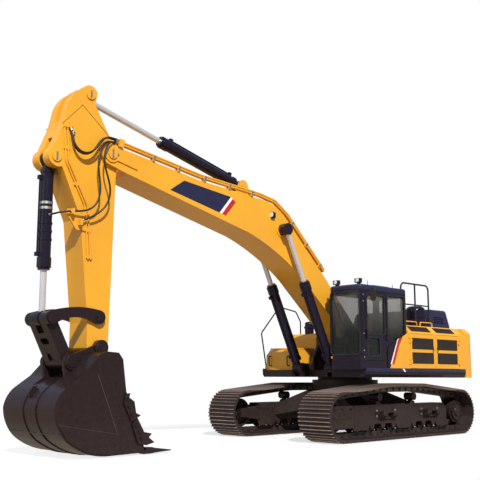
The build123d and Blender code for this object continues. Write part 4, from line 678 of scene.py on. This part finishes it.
def stick_fittings():
    """Pin keepers, strips of painted shadow along the weld lines, and the caps of the guide links' pin."""
    bm = bmesh.new()
    for s in (-1, 1):
        for pin, y in ((STICK_ROD_PIN, 0.287), (BUCKET_BARREL_PIN, 0.300)):
            box(bm, (pin.x - 0.018, pin.x + 0.018), (s * (y + FIT), s * (y + 0.008)),
                (pin.y - 0.07, pin.y + 0.07))
    piece("stick_keepers", bm, "stick", zinc)
    bm = bmesh.new()
    # Painted shadow: dark strips along the welds on the stick's sides.
    for s in (-1, 1):
        for a, b in (((7.94, 5.62), (7.55, 6.05)), ((7.55, 6.05), (6.95, 5.58))):
            line_strip(bm, a, b, 0.012, s * 0.2752, STRIPE_THICK)
    piece("stick_weld_shadow_lines", bm, "stick", painted_weld_shadow)
    bm = bmesh.new()
    inner, shoulder, outer = 0.3452, 0.3516, 0.3690
    cap_bolts, circle_r = 3, 0.05
    for s in (-1, 1):
        drum(bm, GUIDE_PIN, s * inner, s * shoulder, 0.058, 32)
        drum(bm, GUIDE_PIN, s * shoulder, s * outer, 0.088, 40, 0.082)
        for k in range(cap_bolts):
            angle = k * 2 * math.pi / cap_bolts
            x, z = GUIDE_PIN.x + circle_r * math.cos(angle), GUIDE_PIN.y + circle_r * math.sin(angle)
            bolt(bm, (x, s * outer, z), (0, s, 0), 0.013)
    piece("guide_pin_caps", bm, "stick", bucket_steel)


def barrel_bands():
    """Plated bands and dark rings round the bucket cylinder's barrel."""
    bm = bmesh.new()
    for z in (4.23, 4.14):
        collar(bm, (8.0267, 0, z - 0.022), (8.0265, 0, z + 0.022), 0.105, 0.1125)
    piece("barrel_bands", bm, "bucket_barrel", zinc)
    bm = bmesh.new()
    for z in (3.88, 3.74, 3.60):
        collar(bm, (8.0255, 0, z - 0.018), (8.0255, 0, z + 0.018), 0.105, 0.118)
    piece("barrel_rings", bm, "bucket_barrel", dark)


def bucket_trim():
    """Bolts of the side cutters, pin caps, tooth pins, weld beads and the edge of the wrap on the back."""
    bm = bmesh.new()
    for s in (-1, 1):
        for x, z in ((-0.43, -1.29), (-0.49, -1.40), (-0.54, -1.51), (-0.24, -0.86), (-0.27, -0.98),
                     (-0.33, -1.11)):
            bolt(bm, (BUCKET_PIN.x + x, s * 0.855, BUCKET_PIN.y + z), (0, s, 0), 0.026)
        for pin in (BUCKET_PIN, BUCKET_PIN + Vector(LINK_PIN_STEP)):
            drum(bm, pin, s * 0.40, s * 0.412, 0.11, 36, 0.10)
    teeth, tooth_span = 5, 1.49
    for k in range(teeth):
        y = (k / (teeth - 1) - 0.5) * tooth_span
        drum(bm, (6.31, 0.066), y - 0.077, y + 0.077, 0.015, 12)
    piece("bucket_bolts", bm, "bucket", bucket_steel)
    bm = bmesh.new()
    for s in (-1, 1):
        for a, b in (((8.125, 0.556), (6.975, 0.368)), ((7.42, 1.36), (7.00, 0.390))):
            line_strip(bm, a, b, 0.012, s * (BUCKET_SIDE + FIT), 0.005)
    piece("bucket_beads", bm, "bucket", bead)
    bm = bmesh.new()
    brick(bm, facing((8.075, 0, 0.4), ACROSS, (0.58, 0, 0.82)), (-0.815, 0.815), (-0.010, 0.010),
          (-0.004, 0.006))
    piece("bucket_wrap_edge", bm, "bucket", bead)


# Hoses: the bodies at both ends, and the control points of the route.
HOSE_R = 0.017
SLEEVE_R = 0.0242
SLEEVE_LONG = (0.07, 0.07)
SLEEVE_SHORT = (0.049, 0.036)
HOSES = {
    "hose_upper_outer": ("boom", "stick", SLEEVE_LONG, [
        (6.880, 0.361, 5.532), (7.035, 0.394, 5.541), (7.180, 0.425, 5.467), (7.275, 0.437, 5.342),
        (7.370, 0.437, 5.221), (7.500, 0.427, 5.136), (7.640, 0.410, 5.150), (7.740, 0.385, 5.250),
        (7.775, 0.355, 5.390), (7.785, 0.330, 5.510)]),
    "hose_upper_inner": ("boom", "stick", SLEEVE_LONG, [
        (6.880, 0.315, 5.532), (7.025, 0.332, 5.546), (7.162, 0.360, 5.484), (7.262, 0.376, 5.365),
        (7.350, 0.379, 5.225), (7.462, 0.374, 5.140), (7.590, 0.362, 5.128), (7.690, 0.342, 5.195),
        (7.732, 0.322, 5.320), (7.740, 0.313, 5.445)]),
    "hose_lower_front": ("boom", "stick", SLEEVE_LONG, [
        (6.880, 0.315, 5.478), (7.000, 0.333, 5.475), (7.110, 0.370, 5.414), (7.203, 0.402, 5.306),
        (7.262, 0.424, 5.160), (7.288, 0.440, 4.997), (7.275, 0.448, 4.826), (7.245, 0.450, 4.655),
        (7.232, 0.448, 4.485), (7.265, 0.440, 4.325), (7.350, 0.425, 4.200), (7.465, 0.402, 4.130),
        (7.580, 0.382, 4.105), (7.690, 0.365, 4.090)]),
    "hose_lower_rear": ("boom", "stick", SLEEVE_LONG, [
        (6.880, 0.361, 5.478), (6.995, 0.403, 5.458), (7.098, 0.445, 5.385), (7.170, 0.473, 5.270),
        (7.200, 0.487, 5.125), (7.185, 0.490, 4.972), (7.130, 0.485, 4.820), (7.068, 0.475, 4.670),
        (7.035, 0.465, 4.515), (7.052, 0.450, 4.362), (7.120, 0.430, 4.228), (7.230, 0.405, 4.115),
        (7.360, 0.380, 4.030), (7.490, 0.355, 3.965)]),
    "hose_bucket_line": ("stick", "bucket_barrel", SLEEVE_SHORT, [
        (7.760, 0.355, 4.080), (7.860, 0.330, 4.068), (7.945, 0.270, 4.045), (7.990, 0.190, 4.030),
        (8.005, 0.135, 4.025)])}


def hose_tubes():
    """The hoses, bent between their two bodies, and a plated sleeve at each end."""
    sleeves = {"boom": bmesh.new(), "stick": bmesh.new(), "bucket_barrel": bmesh.new()}
    for name, (near_body, far_body, sleeve, points) in HOSES.items():
        mesh, path = pipe_mesh(name + "_tube", points, HOSE_R)
        tube = shown_object(name + "_tube", mesh, rubber, 60)
        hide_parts(name)
        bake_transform(tube)
        for body, at, inner, reach in ((near_body, points[0], points[1], sleeve[0]),
                                       (far_body, points[-1], points[-2], sleeve[1])):
            at, inner = Vector(at), Vector(inner)
            rod(sleeves[body], at, at + (at - inner).normalized() * reach, SLEEVE_R, 24)
    for body, bm in sleeves.items():
        piece("hose_sleeves_" + body, bm, body, zinc)


CLOTH_STEPS = 20
PAD_SWELL = 0.022


def evaluated(obj):
    return obj.evaluated_get(bpy.context.evaluated_depsgraph_get())


def blow_up(obj):
    """Let air pressure swell a pad in a short cloth run, by no more than PAD_SWELL."""
    cloth_run = obj.modifiers.new("cloth", "CLOTH")
    cloth_run.settings.use_pressure = True
    cloth_run.settings.uniform_pressure_force = 4.0
    cloth_run.settings.effector_weights.gravity = 0.0
    for step in range(1, CLOTH_STEPS + 1):
        scene.frame_set(step)
    places = [v.co.copy() for v in evaluated(obj).to_mesh().vertices]
    evaluated(obj).to_mesh_clear()
    obj.modifiers.clear()
    for vertex, place in zip(obj.data.vertices, places):
        move = place - vertex.co
        if move.length > PAD_SWELL:
            move *= PAD_SWELL / move.length
        vertex.co = vertex.co + move
    scene.frame_set(1)


def cushion(name, outline, y):
    """A pad blown up from a slightly smaller rounded block."""
    bm = bmesh.new()
    prism(bm, [(x, y[0], z) for x, z in outline], (0, y[1] - y[0], 0))
    bmesh.ops.recalc_face_normals(bm, faces=bm.faces[:])
    round_edges(bm, 0.02, 3)
    block = bpy.data.meshes.new(name)
    bm.to_mesh(block)
    bm.free()
    obj = bpy.data.objects.new(name, block)
    scene.collection.objects.link(obj)
    remesh = obj.modifiers.new("remesh", "REMESH")
    remesh.mode = "VOXEL"
    remesh.voxel_size = 0.006
    fine = bpy.data.meshes.new_from_object(evaluated(obj))
    obj.modifiers.clear()
    obj.data = fine
    blow_up(obj)
    fine.name = name
    fine.materials.clear()
    fine.materials.append(cloth)
    smooth_mesh(fine, 60)
    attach(obj, "upper")
    return obj


def seat_cushions():
    pad = cushion("seat_pad", [(0.085, 1.905), (0.545, 1.905), (0.545, 1.985), (0.085, 1.985)], (0.85, 1.29))
    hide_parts("seat")
    cushion("seat_back", [(0.06, 2.015), (0.15, 2.015), (0.062, 2.665), (-0.018, 2.665)], (0.86, 1.28))


def studio_floor():
    """A white floor that fades out, and only takes a faint shadow."""
    bm = bmesh.new()
    bmesh.ops.create_grid(bm, x_segments=1, y_segments=1, size=120.0)
    mesh = bpy.data.meshes.new("floor")
    bm.to_mesh(mesh)
    bm.free()
    floor = bpy.data.objects.new("floor", mesh)
    scene.collection.objects.link(floor)
    f = Finish("floor")
    f.wire("Base Color", f.mix(f.noise(0.4), rgb(0.86, 0.86, 0.86), rgb(0.83, 0.83, 0.83)))
    f.wire("Roughness", 0.9)
    x, y, _ = f.split(f.where)
    ahead = x - 1.5
    f.wire("Alpha", f.ramp(ahead * ahead + y * y * 1.6, 60.0, 6.0, 0.0, 0.35))
    mesh.materials.append(f.material)


def daylight():
    """Blue sky overhead, warm light back from the ground, a plain white backdrop, sun and a soft fill."""
    world = bpy.data.worlds.new("studio")
    scene.world = world
    world.use_nodes = True
    sky = Shader(world.node_tree)
    height = sky.split(sky.node("ShaderNodeTexCoord", out="Generated"))[2]
    colour = sky.node("ShaderNodeValToRGB", inputs={0: sky.ramp(height, -1.0, 1.0)},
                      stops=((0.42, rgb(1.0, 0.80, 0.62)), (0.75, rgb(0.55, 0.72, 1.0))))
    light = sky.node("ShaderNodeBackground", inputs={"Color": colour, "Strength": 0.45})
    backdrop = sky.node("ShaderNodeBackground", inputs={"Color": rgb(1, 1, 1), "Strength": 1.0})
    seen = sky.node("ShaderNodeLightPath", out="Is Camera Ray")
    shown = sky.node("ShaderNodeMixShader", inputs={0: seen, 1: light, 2: backdrop})
    sky.feed(world.node_tree.nodes["World Output"].inputs["Surface"], shown)

    sun = bpy.data.lights.new("sun", "SUN")
    sun.angle = math.radians(1.5)
    sun.energy = 4.7
    sun.color = (1.0, 0.96, 0.90)
    aim("sun", sun, (0.0, 0.0, 0.0), (-0.6, -1.0, -1.0))

    fill = bpy.data.lights.new("fill", "AREA")
    fill.size = 10.0
    fill.energy = 350
    aim("fill", fill, (16.0, -3.0, 9.0), (-14.0, 3.0, -6.5))


def aim(name, light, place, way):
    lamp = bpy.data.objects.new(name, light)
    lamp.location = place
    lamp.rotation_mode = "QUATERNION"
    lamp.rotation_quaternion = Vector(way).to_track_quat("-Z", "Y")
    scene.collection.objects.link(lamp)


def photo_camera():
    """The camera fitted to the photograph: its focal length in pixels, its place and its angles."""
    focal_pixels, picture_pixels, sensor_mm = 802.574, 480.0, 36.0
    heading, pitch, roll = -133.92, 9.62, 0.13
    camera = bpy.data.cameras.new("camera")
    camera.sensor_width = sensor_mm
    camera.lens = sensor_mm * focal_pixels / picture_pixels
    camera.clip_start = 0.1
    camera.clip_end = 500.0
    eye = bpy.data.objects.new("camera", camera)
    eye.matrix_world = (Matrix.Translation((14.974, 12.006, 1.318))
                        @ Matrix.Rotation(math.radians(heading - 90.0), 4, "Z")
                        @ Matrix.Rotation(math.radians(90.0 + pitch), 4, "X")
                        @ Matrix.Rotation(math.radians(roll), 4, "Z"))
    scene.collection.objects.link(eye)
    scene.camera = eye


painted_stripes()
deck_sills()
cover_grilles()
cab_windows()
cab_fittings()
undercarriage_trim()
track_trim()
rod_eyes()
boom_fittings()
stick_fittings()
barrel_bands()
bucket_trim()
hose_tubes()
seat_cushions()
studio_floor()
daylight()
photo_camera()
scene.view_settings.view_transform = "Standard"
